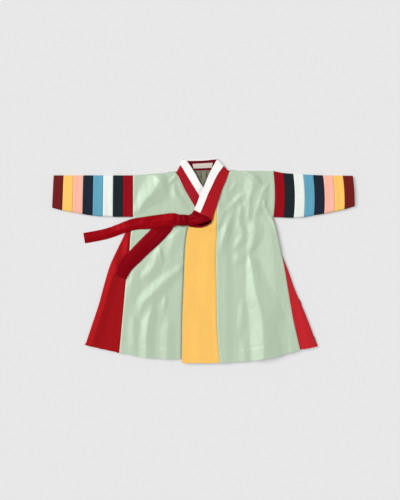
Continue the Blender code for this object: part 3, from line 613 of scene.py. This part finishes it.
# heights
def rollOver(radius, spot, inwards):
    # near a closed edge the cloth turns down round a half circle: its height from 0 to 1, and its lean
    found = [nearestOn(path, spot[..., 0], spot[..., 1]) for path in closedEdges]
    distance = np.min([each[0] for each in found], axis=0)
    away = np.zeros(spot.shape)
    for each in found:
        away = np.where((each[0] == distance)[..., None], each[3], away)
    onEdge = (distance < 1e-4) | (np.hypot(away[..., 0], away[..., 1]) < 0.5)
    away = np.where(onEdge[..., None], inwards, away)
    lean = np.maximum(0, 1 - distance / radius)
    return np.sqrt(1 - lean * lean), -away * lean[..., None]


# the under front sinks beside and under the yellow piece's edge, from start before it to end past it
underDip = {"depth": 3.2, "start": 4.2, "fall": 3.6, "end": 14, "rise": 10, "top": 96, "fade": 20}
tieFade = (21, 10)  # folds die out this near a tie's middle line, over this far


def underTop(x, y):
    besideYellow = smooth((xAt(overEdge, y) - 2 - x) / 10)
    besideCollar = smooth((xAt(underCollarOuter, y) - 1 - x) / 8)
    tie = np.minimum(nearestOn(longTail, x, y)[0], nearestOn(shortTail, x, y)[0])
    folds = foldHeight(underFolds, x, y) + 0.35 * ripple(x, y, 34, 80, 1.5) + 0.18 * ripple(x, y, 11, 26, 4.5)
    past = x - xAt(overEdge, y)
    dip = underDip["depth"] * smooth((past + underDip["start"]) / underDip["fall"])
    dip = dip * smooth((underDip["end"] - past) / underDip["rise"])
    dip = dip * smooth((underDip["top"] - y) / underDip["fade"])
    return folds * besideYellow * besideCollar * smooth((tie - tieFade[0]) / tieFade[1]) - dip


# places that are lifted by what lies under them: their middle, how far they reach and how far they fade
collarBump = {"spot": (10, 118), "reach": 52, "fade": 18}
crossingBump = {"spot": (2, 170), "reach": 54, "fade": 20}
lapArea = {"right": 78, "rightFade": 24, "top": 212, "topFade": 30}


def bump(place, x, y):
    away = np.hypot(x - place["spot"][0], y - place["spot"][1])
    return smooth((place["reach"] - away) / place["fade"])


def overLift(x, y):
    overLap = smooth((lapArea["right"] - x) / lapArea["rightFade"])
    overLap = overLap * smooth((lapArea["top"] - y) / lapArea["topFade"])
    overCollar = bump(collarBump, x, y)
    return layers["lap"] * overLap, layers["collarLift"] * overCollar


def overTop(x, y):
    besideCollar = smooth((x - xAt(overCollarOuter, y) - 1) / 8)
    besideSeam = smooth(nearestOn(overSeam, x, y)[0] / 7)
    folds = foldHeight(overFolds, x, y) + 0.35 * ripple(x, y, 34, 80, 7.5) + 0.18 * ripple(x, y, 11, 26, 2.5)
    return sum(overLift(x, y)) + folds * besideCollar * besideSeam


def yellowTop(x, y):
    folds = foldHeight(yellowFolds, x, y) + 0.25 * ripple(x, y, 30, 60, 3.5)
    return sum(overLift(x, y)) + folds * smooth(nearestOn(overSeam, x, y)[0] / 10)


def gussetTop(x, y):
    return foldHeight(gussetFolds, x, y) + 0.3 * ripple(x, y, 20, 50, 9.5)


def flatTop(x, y):
    return np.zeros(np.shape(x))


def backCreases(x, y):
    return foldHeight(backFolds, x, y)


def heldUp(x, y):
    away = np.hypot(x - tieLift["spot"][0], y - tieLift["spot"][1])
    return tieLift["height"] * smooth(1 - away / tieLift["reach"])


def overCollarFloor(x, y):
    overLap, overCollar = overLift(x, y)
    crossing = layers["crossingLift"] * bump(crossingBump, x, y)
    return layers["puff"] + layers["collarRest"] + overLap + np.maximum(overCollar, crossing) + heldUp(x, y)


def underCollarFloor(x, y):
    # it bows up a little before it dips under the over collar
    away, _, side, _ = nearestOn(overCollarNeck, x, y)
    before = -side * away
    bow = collarBow["height"] * smooth(before / collarBow["dip"])
    bow = bow * smooth((collarBow["reach"] - before) / collarBow["fade"])
    return layers["puff"] + layers["seam"] + bow


def overStripFloor(x, y):
    return overCollarFloor(x, y) + cloth["collar"] + layers["seam"]


def underStripFloor(x, y):
    return underCollarFloor(x, y) + cloth["collar"] + layers["seam"]


# body panels
def panel(node, finishName, left, right, surface, step=2.6, rolled="", sewn="", sag=0.0, face=1,
          radius=rollRadius, top=None, hemmed=True, bevelled=True):  # fmt: skip
    # a panel between the points of its left and right edges. rolled and sewn name its sides by letter
    # (l, r, t): a rolled side lies on the garment's outline and a sewn one stands back from its seam.
    # face is 1 for the front layer and -1 for the back.
    run = lengths(left)
    unit = (right - left) / np.hypot(*(right - left).T)[:, None]
    start = left + unit * (layers["seamInset"] if "l" in sewn else 0)
    end = right - unit * (layers["seamInset"] if "r" in sewn else 0)
    width = np.hypot(*(end - start).T)
    kinds = [rolledStart if side in rolled else sewnStart if side in sewn else freeStart for side in "lr"]
    share = spread(width, max(3, round(width.max() / step)), *kinds)
    spot = start[:, None] + (end - start)[:, None] * share[..., None]
    down = (run / run[-1])[:, None]
    spot[..., 1] -= sag * 4 * share * (1 - share) * down**4
    if hemmed:
        spot[..., 1] += hem["wave"] * ripple(spot[..., 0], 0 * share, 17, 1, 8.5) * down**10
    if top is not None:
        chord = left[0] + (right[0] - left[0]) * share[0][:, None]
        spot += (along(top, share[0]) - chord)[None] * ((1 - down) ** 6)[..., None]
    inwards = np.where((share < 0.5)[..., None], unit[:, None], -unit[:, None])
    if "t" in rolled:
        inwards[0] = (0, -1)
    height, lean = rollOver(radius, spot, inwards)
    x, y = spot[..., 0], spot[..., 1]
    raised = surface(x, y)
    fromLeft, fromRight = share * width[:, None], (1 - share) * width[:, None]
    if "l" in sewn:
        raised = raised + seamRelief(fromLeft, run[:, None])
    if "r" in sewn:
        raised = raised + seamRelief(fromRight, run[:, None])
    if hemmed:
        above = run[-1] - run[:, None] - hem["depth"]
        raised = raised + hem["step"] * smooth(-above / 3) - hem["groove"] * np.exp(-((above / 1.6) ** 2))
    raised = raised * height
    inner = np.dstack([-lean, -face * height]) * cloth["body"]
    outer = np.dstack([spot, middle + face * (layers["seam"] / 2 + radius * height)])
    if face > 0:
        outer[..., 2] += raised
    else:
        outer[..., 2] += np.maximum(0, raised) * height
    shell(node, outer, inner, finishName, bevelled=bevelled, lined=True)


def makeBody():
    low = rollRadius - layers["gussetDrop"]
    overLine, underLine = edge((overSeam, 24)), edge((underSeam, 24))
    rightLine, leftLine = sideEdge(frontSeamRight, 16), sideEdge(frontSeamLeft, 12)
    backLineRight, backLineLeft = sideEdge(backSeamRight, 9), sideEdge(backSeamLeft, 9)
    centreLine = edge((centreBack, 18), head=rolledStart)
    tip = detail  # a gusset starts this many rows below the armpit
    panel("front_right", "sageSatin", np.vstack([edge((armholeRight, 8), head=rolledStart), rightLine[1:]]),
          np.vstack([edge((underNeck, 4), head=rolledStart), underLine[1:]]), underTop,
          rolled="t", sewn="l", sag=hem["under"], bevelled=False)  # fmt: skip
    panel("overlap_right", "sageSatin", underLine, edge((underEdge, 24)), underTop, step=4,
          bevelled=False)
    panel("front_left", "sageSatin", np.vstack([edge((overNeck, 5), head=rolledStart), overLine[1:]]),
          np.vstack([edge((armholeLeft, 8), (sideLeftUpper, 5), head=rolledStart), leftLine[1:]]), overTop,
          rolled="t", sewn="lr", sag=hem["over"])  # fmt: skip
    panel("overlap_left", "yellowSatin", edge((overEdge, 24)), overLine, yellowTop,
          sewn="r")  # fmt: skip
    panel("gusset_right_front", "gussetRed", sideEdge(sideRight, 16)[tip:], rightLine[tip:], gussetTop,
          rolled="l", sewn="r", radius=low)  # fmt: skip
    # this gusset is given the gusset red lightened as painted light
    panel("gusset_left_front", "gussetBright", leftLine[tip:], sideEdge(sideLeftLower, 12)[tip:], gussetTop,
          rolled="r", sewn="l", radius=low)  # fmt: skip
    panel("back_right", "sageSatin", np.vstack([armholeEdge(armholeRight, 4), backLineRight[1:]]), centreLine,
          backCreases, step=6, rolled="t", sewn="lr", sag=hem["back"], face=-1, top=backTopRight,
          hemmed=False)  # fmt: skip
    panel("back_left", "sageSatin", centreLine, np.vstack([armholeEdge(armholeLeft, 4), backLineLeft[1:]]),
          backCreases, step=6, rolled="t", sewn="lr", sag=hem["back"], face=-1, top=backTopLeft,
          hemmed=False)  # fmt: skip
    panel("gusset_right_back", "gussetRed", sideEdge(sideRight, 9)[tip:], backLineRight[tip:], flatTop,
          step=6, rolled="l", sewn="r", face=-1, hemmed=False)  # fmt: skip
    panel("gusset_left_back", "gussetRed", backLineLeft[tip:], sideEdge(sideLeft, 9)[tip:], flatTop,
          step=6, rolled="r", sewn="l", face=-1, hemmed=False)  # fmt: skip
    print("body panels made")


# sleeves
sleeveSizes = {
    "right": dict(
        armhole=-179, armholeBow=0, cuffTop=-381, cuffBottom=-385, cuffBow=0,
        top=curve((-385, 217), (-179, 217)),
        bottom=curve((-385, 134), (-357, 127), (-330, 122), (-280, 114), (-231, 111), (-179, 111)),
    ),
    "left": dict(
        armhole=178, armholeBow=4.0, cuffTop=380, cuffBottom=385, cuffBow=1.5,
        top=curve((178, 228), (205, 223), (230, 221), (282, 218), (308, 217), (385, 216)),
        bottom=curve((178, 110), (255, 110), (282, 115), (308, 119), (333, 124), (359, 130), (385, 138)),
    ),
}  # fmt: skip
bandNames = ("red", "dark_green", "white", "blue", "navy", "pink", "yellow", "maroon")
bandFinishes = ("bandRed", "bandDarkGreen", "bandWhite", "bandBlue", "bandNavy", "bandPink", "bandYellow",
                "bandMaroon")  # fmt: skip
tubeSteps = {"table": 12, "fold": 8, "crown": 34}
sleeveCrown = 0.8


def flattenedRing(low, high, floor, roof, crown):
    # points (y, z) and inward directions round a flattened tube, from its table side round to its front
    radius, centre = (roof - floor) / 2, (roof + floor) / 2
    flat = high - low - 2 * radius
    loop = [(low + radius + flat * t, floor, 0.0, 1.0) for t in np.linspace(0, 1, tubeSteps["table"] + 1)]
    turns = np.linspace(0, math.pi, tubeSteps["fold"] + 1)[1:-1]
    bends = [(math.sin(t), math.cos(t)) for t in turns]
    loop += [(high - radius + radius * s, centre - radius * c, -s, c) for s, c in bends]
    loop += [(high - radius - flat * t, roof + crown * math.sin(math.pi * t), 0.0, -1.0)
             for t in np.linspace(0, 1, tubeSteps["crown"] + 1)]  # fmt: skip
    loop += [(low + radius - radius * s, centre + radius * c, s, -c) for s, c in bends]
    return np.array(loop)


def sleeveBand(side, number):
    size = sleeveSizes[side]
    sign = 1 if side == "left" else -1
    inset = layers["seamInset"]

    def seamX(share, height):
        top = size["armhole"] + share * (size["cuffTop"] - size["armhole"])
        bottom = size["armhole"] + share * (size["cuffBottom"] - size["armhole"])
        bow = size["armholeBow"] + share * (size["cuffBow"] - size["armholeBow"])
        return bottom + height * (top - bottom) + sign * bow * 4 * height * (1 - height)

    distances = spread([25.0], 9, sewnStart, sewnStart)[0]
    outer, inward, perimeters = [], [], []
    for part in distances:
        share = (number + part) / 8
        low, high = yAt(size["bottom"], seamX(share, 0)), yAt(size["top"], seamX(share, 1))
        ring = flattenedRing(low, high, 0, layers["puff"], sleeveCrown)
        firstStand = inset * (2 if number == 0 else 1)
        lastStand = 0 if number == 7 else -inset
        stand = firstStand + (lastStand - firstStand) * part
        x = seamX(share, (ring[:, 0] - low) / (high - low)) + sign * stand
        fromSeam = 25 * min(part, 1 - part)
        onTop = smooth((ring[:, 1] - 4) / 4)
        relief = seamRelief(np.full(len(x), fromSeam), ring[:, 0] + 40 * number) * onTop
        wrinkles = 0.45 * ripple(x, ring[:, 0], 16, 40, 11.5 + 3 * (sign > 0)) * onTop
        outer.append(np.column_stack([x, ring[:, 0], ring[:, 1] + relief + wrinkles]))
        inward.append(np.column_stack([0 * x, ring[:, 2], ring[:, 3]]) * cloth["body"])
        perimeters.append(lengths(ring[:, :2])[-1] + math.pi)
    shell(f"sleeve_{side}_band_{number + 1}_{bandNames[number]}", np.array(outer), np.array(inward),
          bandFinishes[number], tube=True,
          lined=True)  # fmt: skip


def makeSleeves():
    for side in sleeveSizes:
        for number in range(8):
            sleeveBand(side, number)
    print("sleeves made")


# collar
def turnedOver(turn, spot, inset, radius):
    # beside the line where the collar turns over: height from 0 at the turn to 1, and lean
    across = turn[1] - turn[0]
    normal = np.array([across[1], -across[0]]) / np.hypot(*across)
    away = (spot - turn[0]) @ normal - inset
    lean = np.maximum(0, 1 - np.maximum(0, away) / radius)
    return np.sqrt(1 - lean * lean), normal * lean[..., None]


def shifted(turn, spot, amount):
    across = turn[1] - turn[0]
    return spot + np.array([across[1], -across[0]]) / np.hypot(*across) * amount[..., None]


def frontStrip(node, finishName, outerEdge, neckEdge, turn, columns, floor, thickness, inset=0.0,
               end=None):  # fmt: skip
    outerEdge, neckEdge = outerEdge[:, :2], neckEdge[:, :2]
    length = min(lengths(outerEdge)[-1], lengths(neckEdge)[-1])
    down = spread([length], round(length / 2.2), rolledStart, end["rows"] if end else freeStart)[0]
    share = spread([40.0], columns, freeStart, freeStart)[0]
    left, right = along(outerEdge, down), along(neckEdge, down)
    spot = left[:, None] + (right - left)[:, None] * share[None, :, None]
    spot = shifted(turn, spot, np.broadcast_to(inset * np.maximum(0, 1 - 6 * down)[:, None], spot.shape[:2]))
    if end:
        pull = smooth((down - 0.8) / 0.2)[:, None]
        spot[..., 0] += pull * np.interp(share, np.linspace(0, 1, 5), end["x"])
        spot[..., 1] += pull * np.interp(share, np.linspace(0, 1, 5), end["y"])
    radius = floor(spot[..., 0], spot[..., 1]) + thickness - layers["collarTurn"] - layers["seam"] / 2
    height, lean = turnedOver(turn, spot, inset, radius)
    z = layers["collarTurn"] + layers["seam"] / 2 + radius * height
    if end:
        x, y = spot[..., 0], spot[..., 1]
        edgeTop = y[-1] + np.interp(x[-1], end["span"], end["edge"])
        z -= end["drop"] * smooth((np.interp(x, end["span"], end["dropFrom"]) - y) / end["dropOver"])
        z += end["rim"] * smooth((edgeTop - y) / 1.2 + 0.5)
    outer = np.dstack([spot, z])
    piece = shell(node, outer, np.dstack([lean, -height]) * thickness, finishName)
    if end:
        # the tuck under the tie is given a near-black red, the tie's shadow painted in, and the turned edge below it
        # the tie's red darkened as painted shade
        piece.data.materials.append(finish("tieShadowPaintedRed"))
        piece.data.materials.append(finish("tieRedPaintedShade"))
        faces = np.empty(3 * len(piece.data.polygons), np.float32)
        piece.data.polygons.foreach_get("center", faces)
        x, y = faces.reshape(-1, 3)[:, :2].T / mm
        endLine = outer[-1][np.argsort(outer[-1][:, 0])]
        fromEnd = y - np.interp(x, endLine[:, 0], endLine[:, 1])
        turned = (fromEnd < np.interp(x, end["span"], end["edge"])) | (x < end["span"][0])
        low = y < np.interp(x, end["span"], end["dropFrom"]) - 1
        piece.data.polygons.foreach_set("material_index", np.where(low, np.where(turned, 2, 1), 0).tolist())


def backStrip(node, finishName, top, foot, rows, floor, thickness, inset=0.0):
    across = spread([lengths(top)[-1]], 40, rolledStart, rolledStart)[0]
    share = np.linspace(0, 1, rows + 1)
    upper, lower = along(top, across), along(foot, across)
    spot = upper[None] + (lower - upper)[None] * share[:, None, None]
    fromTurn = np.minimum(across, 1 - across)
    amount = np.broadcast_to(inset * np.maximum(0, 1 - 6 * fromTurn)[None], spot.shape[:2])
    radius = layers["collarTurn"] - layers["seam"] / 2 - floor
    halves = []
    for turn, part in ((rightTurn, across < 0.5), (leftTurn, across >= 0.5)):
        moved = shifted(turn, spot[:, part], amount[:, part])
        height, lean = turnedOver(turn, moved, inset, radius)
        halves.append((moved, height, lean))
    spot, height, lean = (np.concatenate([a, b], axis=1) for a, b in zip(*halves))
    outer = np.dstack([spot, layers["collarTurn"] - layers["seam"] / 2 - radius * height])
    shell(node, outer, np.dstack([lean, height]) * thickness, finishName)


def makeCollar():
    inside = cloth["strip"] + layers["seam"]
    frontStrip("collar_right", "underCollarRed", underCollarOuter, underCollarNeck, rightTurn, 16,
               underCollarFloor, cloth["collar"], inside)  # fmt: skip
    frontStrip("collar_left", "collarRed", overCollarOuter, overCollarNeck, leftTurn, 18, overCollarFloor,
               cloth["collar"], inside, collarEnd)  # fmt: skip
    # the back of the collar, inside the neck, is given the collar's red darkened as painted shade
    backStrip("collar_back", "innerRed",
              curve((-53.8, 254), (-20, 254), (6, 255), (37, 258.9)),
              curve((-68.7, 228.3), (-60, 228.2), (-30, 228.4), (20, 229.4), (55, 230.2), (63.2, 231)),
              10, layers["backCollar"], cloth["collar"], inside)  # fmt: skip
    frontStrip("neck_strip_right", "stripWhite", underCollarMiddle, underStripNeck, rightTurn, 9,
               underStripFloor, cloth["strip"])  # fmt: skip
    frontStrip("neck_strip_left", "stripWhite", overCollarMiddle, overStripNeck, leftTurn, 9, overStripFloor,
               cloth["strip"])  # fmt: skip
    backStrip("neck_strip_back", "stripWhite",
              curve((-51.7, 257.8), (-20, 257), (6, 258), (35.1, 261)),
              curve((-61.9, 240), (-20, 238), (6, 238), (52.9, 242)),
              6, 0.0, cloth["strip"])  # fmt: skip
    top, foot = np.array([(-28, 246), (24, 249)]), np.array([(-26, 234), (22, 236)])
    share = spread([50.0], 22, freeStart, freeStart)[0]
    upper, lower = along(top, share), along(foot, share)
    spot = upper[None] + (lower - upper)[None] * np.linspace(0, 1, 9)[:, None, None]
    height = layers["backCollar"] + cloth["collar"] + layers["seam"] + cloth["label"]
    swell = 0.3 * np.sin(math.pi * np.linspace(0, 1, 9))[:, None] + 0 * share[None]
    outer = np.dstack([spot, height + swell + 0.2 * ripple(spot[..., 0], spot[..., 1], 12, 12, 5.5)])
    inward = np.zeros(outer.shape) + (0, 0, -cloth["label"])
    shell("neck_label", outer, inward, "labelCream")  # fmt: skip
    print("collar made")


# ties
tieEdge = {"from": 0.74, "drop": 0.9}  # where a tie's turned edge starts, across its half width, and its drop


def tail(node, finishName, rows, creases, restsOn, under=None):
    total = lengths(rows)[-1]
    down = spread([total], round(total / 2.0), freeStart, freeStart)[0]
    spine = along(rows, down)
    heading = np.gradient(spine[:, :2], axis=0)
    heading /= np.hypot(*heading.T)[:, None]
    side = np.column_stack([-heading[:, 1], heading[:, 0]])
    across = np.linspace(-1, 1, 21)
    spot = spine[:, None, :2] - side[:, None] * (spine[:, 2:3, None] * across[None, :, None])
    edgeSoft = tieEdge["drop"] * smooth((np.abs(across) - tieEdge["from"]) / (1 - tieEdge["from"]))
    x, y = spot[..., 0], spot[..., 1]
    lift = foldHeight(creases, x, y) + 0.15 * (1 + ripple(x, y, 9, 9, 14.5))
    if under is not None:
        lift = lift * smooth((nearestOn(under, x, y)[0] - 17) / 8)
    z = spine[:, 3:4] - edgeSoft[None] + lift
    inward = np.dstack([0 * x, 0 * x, edgeSoft[None] - cloth["tie"] + 0 * x])
    shell(node, np.dstack([spot, z]), inward, finishName)


longCreases = (
    (1.3, ((-68, 114, 6, 0), (-78, 111, 11, 2.0), (-98, 108, 13, 2.4), (-118, 105, 12, 1.4), (-134, 102, 8, 0))),
    (1.4, ((-76, 99, 4, 0), (-90, 96, 6, 0.9), (-108, 93, 6, 0.7), (-122, 91, 5, 0))),
    (1.5, ((-140, 101, 7, 0), (-160, 98, 10, 1.1), (-200, 88, 11, 1.2), (-250, 71, 11, 1.1), (-300, 61, 10, 0.8))),
)
shortCreases = (
    (1.4, ((-96, 94, 8, 0), (-112, 83, 13, 1.2), (-133, 62, 14, 1.2), (-157, 39, 14, 0.9), (-180, 17, 14, 0.8),
           (-208, -14, 12, 0.4))),
    (1.2, ((-88, 80, 6, 0), (-104, 68, 9, 1.2), (-126, 45, 9, 0.8), (-146, 26, 7, 0))),
)  # fmt: skip


root = {"height": 17.0, "swell": 1.2, "upperRim": 2.6, "lowerRim": 0.7}
knot = {"x": -68, "length": 29.5, "low": 88, "high": 117, "floor": 8.7, "roof": 19.3, "tall": 10.6,
        "endDrop": 2.0, "waist": 1.2, "crown": 0.8, "rings": 25}  # fmt: skip


def makeTies():
    tail("tie_long_tail", "tieRed", longTail, longCreases, ["front_right_cloth"])
    # the short tail is given the tie's red darkened as painted shade
    tail("tie_short_tail", "tieRedPaintedShade", shortTail, shortCreases, ["front_right_cloth"], under=longTail)
    rootTop = curve((-50, 109), (-41, 110.5), (-37, 116), (-31, 118.5), (-26, 124.5), (-20, 124), (-9, 118.5),
                    (3, 115.5), (12, 110.5), (19, 104))  # fmt: skip
    rootFoot = curve((-50, 96), (-41, 95), (-37.6, 88.5), (-31, 89), (-20, 90.5), (-12, 92.3), (-4, 94.8),
                     (4, 96.8), (12, 99.2), (19.5, 102))  # fmt: skip
    across = spread([lengths(rootTop)[-1]], 30, freeStart, freeStart)[0]
    share = spread([30.0], 14, freeStart, freeStart)[0]
    upper, lower = along(rootTop, across), along(rootFoot, across)
    spot = upper[None] + (lower - upper)[None] * share[:, None, None]
    swell = root["swell"] * np.sin(math.pi * share)[:, None] * np.sin(math.pi * across)[None]
    x, y = spot[..., 0], spot[..., 1]
    rim = (np.abs(2 * share - 1) ** 3 * np.where(share < 0.5, root["upperRim"], root["lowerRim"]))[:, None]
    z = root["height"] + swell + foldHeight(rootCreases, x, y) + heldUp(x, y) * smooth((x + 40) / 20)
    z -= rim * smooth((x + 41) / 4)
    # the root is given the tie's red darkened as painted shade
    shell("tie_root", np.dstack([spot, z]), np.zeros((*z.shape, 3)) + (0, 0, -cloth["tie"]), "tieRedPaintedShade")  # fmt: skip
    outer, inward = [], []
    for part in np.linspace(0, 1, knot["rings"]):
        waist = knot["waist"] * (2 * part - 1) ** 2
        ends = smooth((abs(2 * part - 1) - 0.4) / 0.6)
        ring = flattenedRing(knot["low"] + waist, knot["high"] - waist, knot["floor"],
                             knot["roof"] - knot["endDrop"] * ends, knot["crown"])  # fmt: skip
        onTop = smooth((ring[:, 1] - 12) / 5)
        x = knot["x"] + knot["length"] * part + 0 * ring[:, 0]
        creased = onTop * foldHeight(knotCreases, x, ring[:, 0])
        outer.append(np.column_stack([x, ring[:, 0], ring[:, 1] + creased]))
        inward.append(np.column_stack([0 * x, ring[:, 2], ring[:, 3]]) * cloth["tie"])
    # the knot is given the tie's red darkened as painted shade
    shell("tie_knot", np.array(outer), np.array(inward), "tieRedPaintedShade",
          tube=True)  # fmt: skip
    print("ties made")


rootCreases = (
    (1.2, ((-40, 107, 3, 0), (-32, 108, 4, 0.9), (-20, 109, 5, 0.8), (-6, 109, 4, 0))),
    (1.2, ((-38, 97, 3, 0), (-28, 96, 4, 0.8), (-16, 94, 5, 0.7), (-2, 94, 4, 0))),
)
knotCreases = (
    (1.0, ((-71, 112, 3, 0), (-66, 108, 4, 1.0), (-61, 101, 5, 1.2), (-57, 94, 3, 0))),
    (1.3, ((-54, 116, 4, 0), (-51, 108, 6, 0.8), (-49, 98, 6, 0.7), (-49, 91, 4, 0))),
    (1.3, ((-44, 115, 3, 0), (-41, 107, 4, 0.7), (-40, 98, 4, 0.5), (-40, 92, 3, 0))),
)


# stitching
yellowHemRow = -8  # the row of the yellow panel that its hem stitches lie on, from its foot
threads = {  # pitch, length and radius in millimetres
    "seam": (2.4, 1.7, 0.20),
    "hem": (9.0, 1.2, 0.16),
    "strip": (6.0, 1.4, 0.18),
    "label": (2.2, 1.3, 0.16),
}


def stitches(path, kind, lift=0.0):
    # short thread capsules along a line of points
    pitch, size, radius = threads[kind]
    run = np.concatenate([[0.0], np.cumsum(np.linalg.norm(np.diff(path, axis=0), axis=1))])
    count = int(run[-1] / pitch)
    points, faces = [], []
    ring = [(math.cos(a), math.sin(a)) for a in np.linspace(0, 2 * math.pi, 6)[:-1]]
    for n in range(count):
        ends = []
        for spot in (pitch * (n + 0.5) - size / 2, pitch * (n + 0.5) + size / 2):
            ends.append(np.array([np.interp(spot, run, path[:, k]) for k in range(3)]))
        heading = ends[1] - ends[0]
        heading /= max(np.linalg.norm(heading), 1e-9)
        side = np.cross(heading, (0, 0, 1.0))
        side /= max(np.linalg.norm(side), 1e-9)
        up = np.cross(side, heading)
        base = len(points)
        for share, thick, rise in ((0, 0.35, -0.6), (0.3, 1.0, 0.3), (0.7, 1.0, 0.3), (1, 0.35, -0.6)):
            centre = ends[0] + (ends[1] - ends[0]) * share + up * (lift + rise * radius)
            points += [centre + (side * c + up * s) * radius * thick for c, s in ring]
        for level in range(3):
            for k in range(5):
                a, b = base + 5 * level + k, base + 5 * level + (k + 1) % 5
                faces.append((a, b, b + 5, a + 5))
        faces += [tuple(base + k for k in range(5))[::-1], tuple(base + 15 + k for k in range(5))]
    return points, faces


def stitchPiece(name, finishName, lines, kind, lift=0.0):
    points, faces = [], []
    for line in lines:
        more, moreFaces = stitches(line, kind, lift)
        faces += [tuple(v + len(points) for v in face) for face in moreFaces]
        points += more
    return dress(name, closedMesh(name, points, faces), finishName)


def between(first, second):
    # a line halfway between two edges that are sewn together, as long as the shorter
    count = min(len(first), len(second))
    return (first[-count:] + second[-count:]) / 2


def makeStitching():
    fronts = surfaces["front_right"], surfaces["front_left"]
    bodyLines = [
        between(surfaces["gusset_right_front"][:, -1], fronts[0][:, 0]),
        between(surfaces["gusset_left_front"][:, 0], fronts[1][:, -1]),
        between(surfaces["overlap_left"][:, -1], fronts[1][:, 0]),
    ]
    stitchPiece("seam_stitches_body", "sageSatin", bodyLines, "seam", -0.15)
    hemLines = []
    for node in ("front_right", "front_left"):
        outer = surfaces[node]
        run = lengths(outer[:, 0])
        row = int(np.argmin(np.abs(run[-1] - run - hem["depth"])))
        hemLines.append(outer[row, 6:-6])
    stitchPiece("hem_stitches", "sageSatin", hemLines, "hem", 0.02)
    outer = surfaces["overlap_left"]
    stitchPiece("hem_stitches_yellow", "yellowSatin", [outer[yellowHemRow, 4:-4]], "hem", 0.02)
    stripLines = [surfaces["neck_strip_left"][8:-2, 1], surfaces["neck_strip_right"][8:-2, 1]]
    stitchPiece("strip_stitches", "stripWhite", stripLines, "strip", 0.02)
    label = surfaces["neck_label"]
    stitchPiece("label_stitches", "labelCream", [label[:, 1], label[:, -2]], "label", 0.02)
    print("stitching made")


# room, lights and camera
view = {"centre": (-8.7, 26.8), "height": 1275.0, "distance": 3.0}
lights = {
    "key": dict(place=(-3.6, 1.7, 4.4), spread=36.0, power=2.9),  # a far softbox, from the upper left
    "fill": dict(place=(2.0, -1.6, 6.0), spread=60.0, power=0.32),
    "ambient": 0.27,
    "floorGlow": 0.35,  # a translucent table top, lit from below, keeps the shadows light
}


def makeRoom():
    bpy.ops.mesh.primitive_plane_add(size=60, location=(0, 0, -0.0004))
    floor = bpy.context.object
    floor.name = "table_top"
    material = bpy.data.materials.new("palePaper")
    material.use_nodes = True
    tree = material.node_tree
    shader = tree.nodes["Principled BSDF"]
    place = addNode(tree, "ShaderNodeTexCoord")
    grain = noiseNode(tree, place.outputs["Object"], 300.0, 3.0)
    tint = addNode(
        tree, "ShaderNodeMapRange", [("Value", grain.outputs[0]), ("To Min", 0.42), ("To Max", 0.44)]
    )
    paper = addNode(tree, "ShaderNodeCombineColor", [(channel, tint.outputs[0]) for channel in range(3)])
    tree.links.new(paper.outputs[0], shader.inputs["Base Color"])
    shader.inputs["Roughness"].default_value = 0.9
    shader.inputs["Specular IOR Level"].default_value = 0.1
    shader.inputs["Emission Color"].default_value = (1, 1, 1, 1)
    shader.inputs["Emission Strength"].default_value = lights["floorGlow"]
    floor.data.materials.append(material)


def makeLights():
    for name in ("key", "fill"):
        values = lights[name]
        light = bpy.data.lights.new(name + "_light", "SUN")
        light.energy = values["power"]
        light.angle = math.radians(values["spread"])
        lamp = bpy.data.objects.new(name + "_light", light)
        lamp.location = values["place"]
        lamp.rotation_euler = (-Vector(values["place"])).to_track_quat("-Z", "Y").to_euler()
        bpy.context.scene.collection.objects.link(lamp)
    world = bpy.data.worlds.new("softRoom")
    world.use_nodes = True
    world.node_tree.nodes["Background"].inputs[0].default_value = (1, 1, 1, 1)
    world.node_tree.nodes["Background"].inputs[1].default_value = lights["ambient"]
    bpy.context.scene.world = world


def makeCamera():
    camera = bpy.data.cameras.new("camera")
    camera.sensor_fit = "VERTICAL"
    camera.sensor_height = 24
    camera.lens = 24 * view["distance"] / (view["height"] * mm)
    looker = bpy.data.objects.new("camera", camera)
    looker.location = (view["centre"][0] * mm, view["centre"][1] * mm, view["distance"])
    bpy.context.scene.collection.objects.link(looker)
    bpy.context.scene.camera = looker


makeCamera()
makeRoom()
makeBody()
makeSleeves()
makeCollar()
makeTies()
makeStitching()
makeLights()
bpy.context.scene.view_settings.view_transform = "Standard"
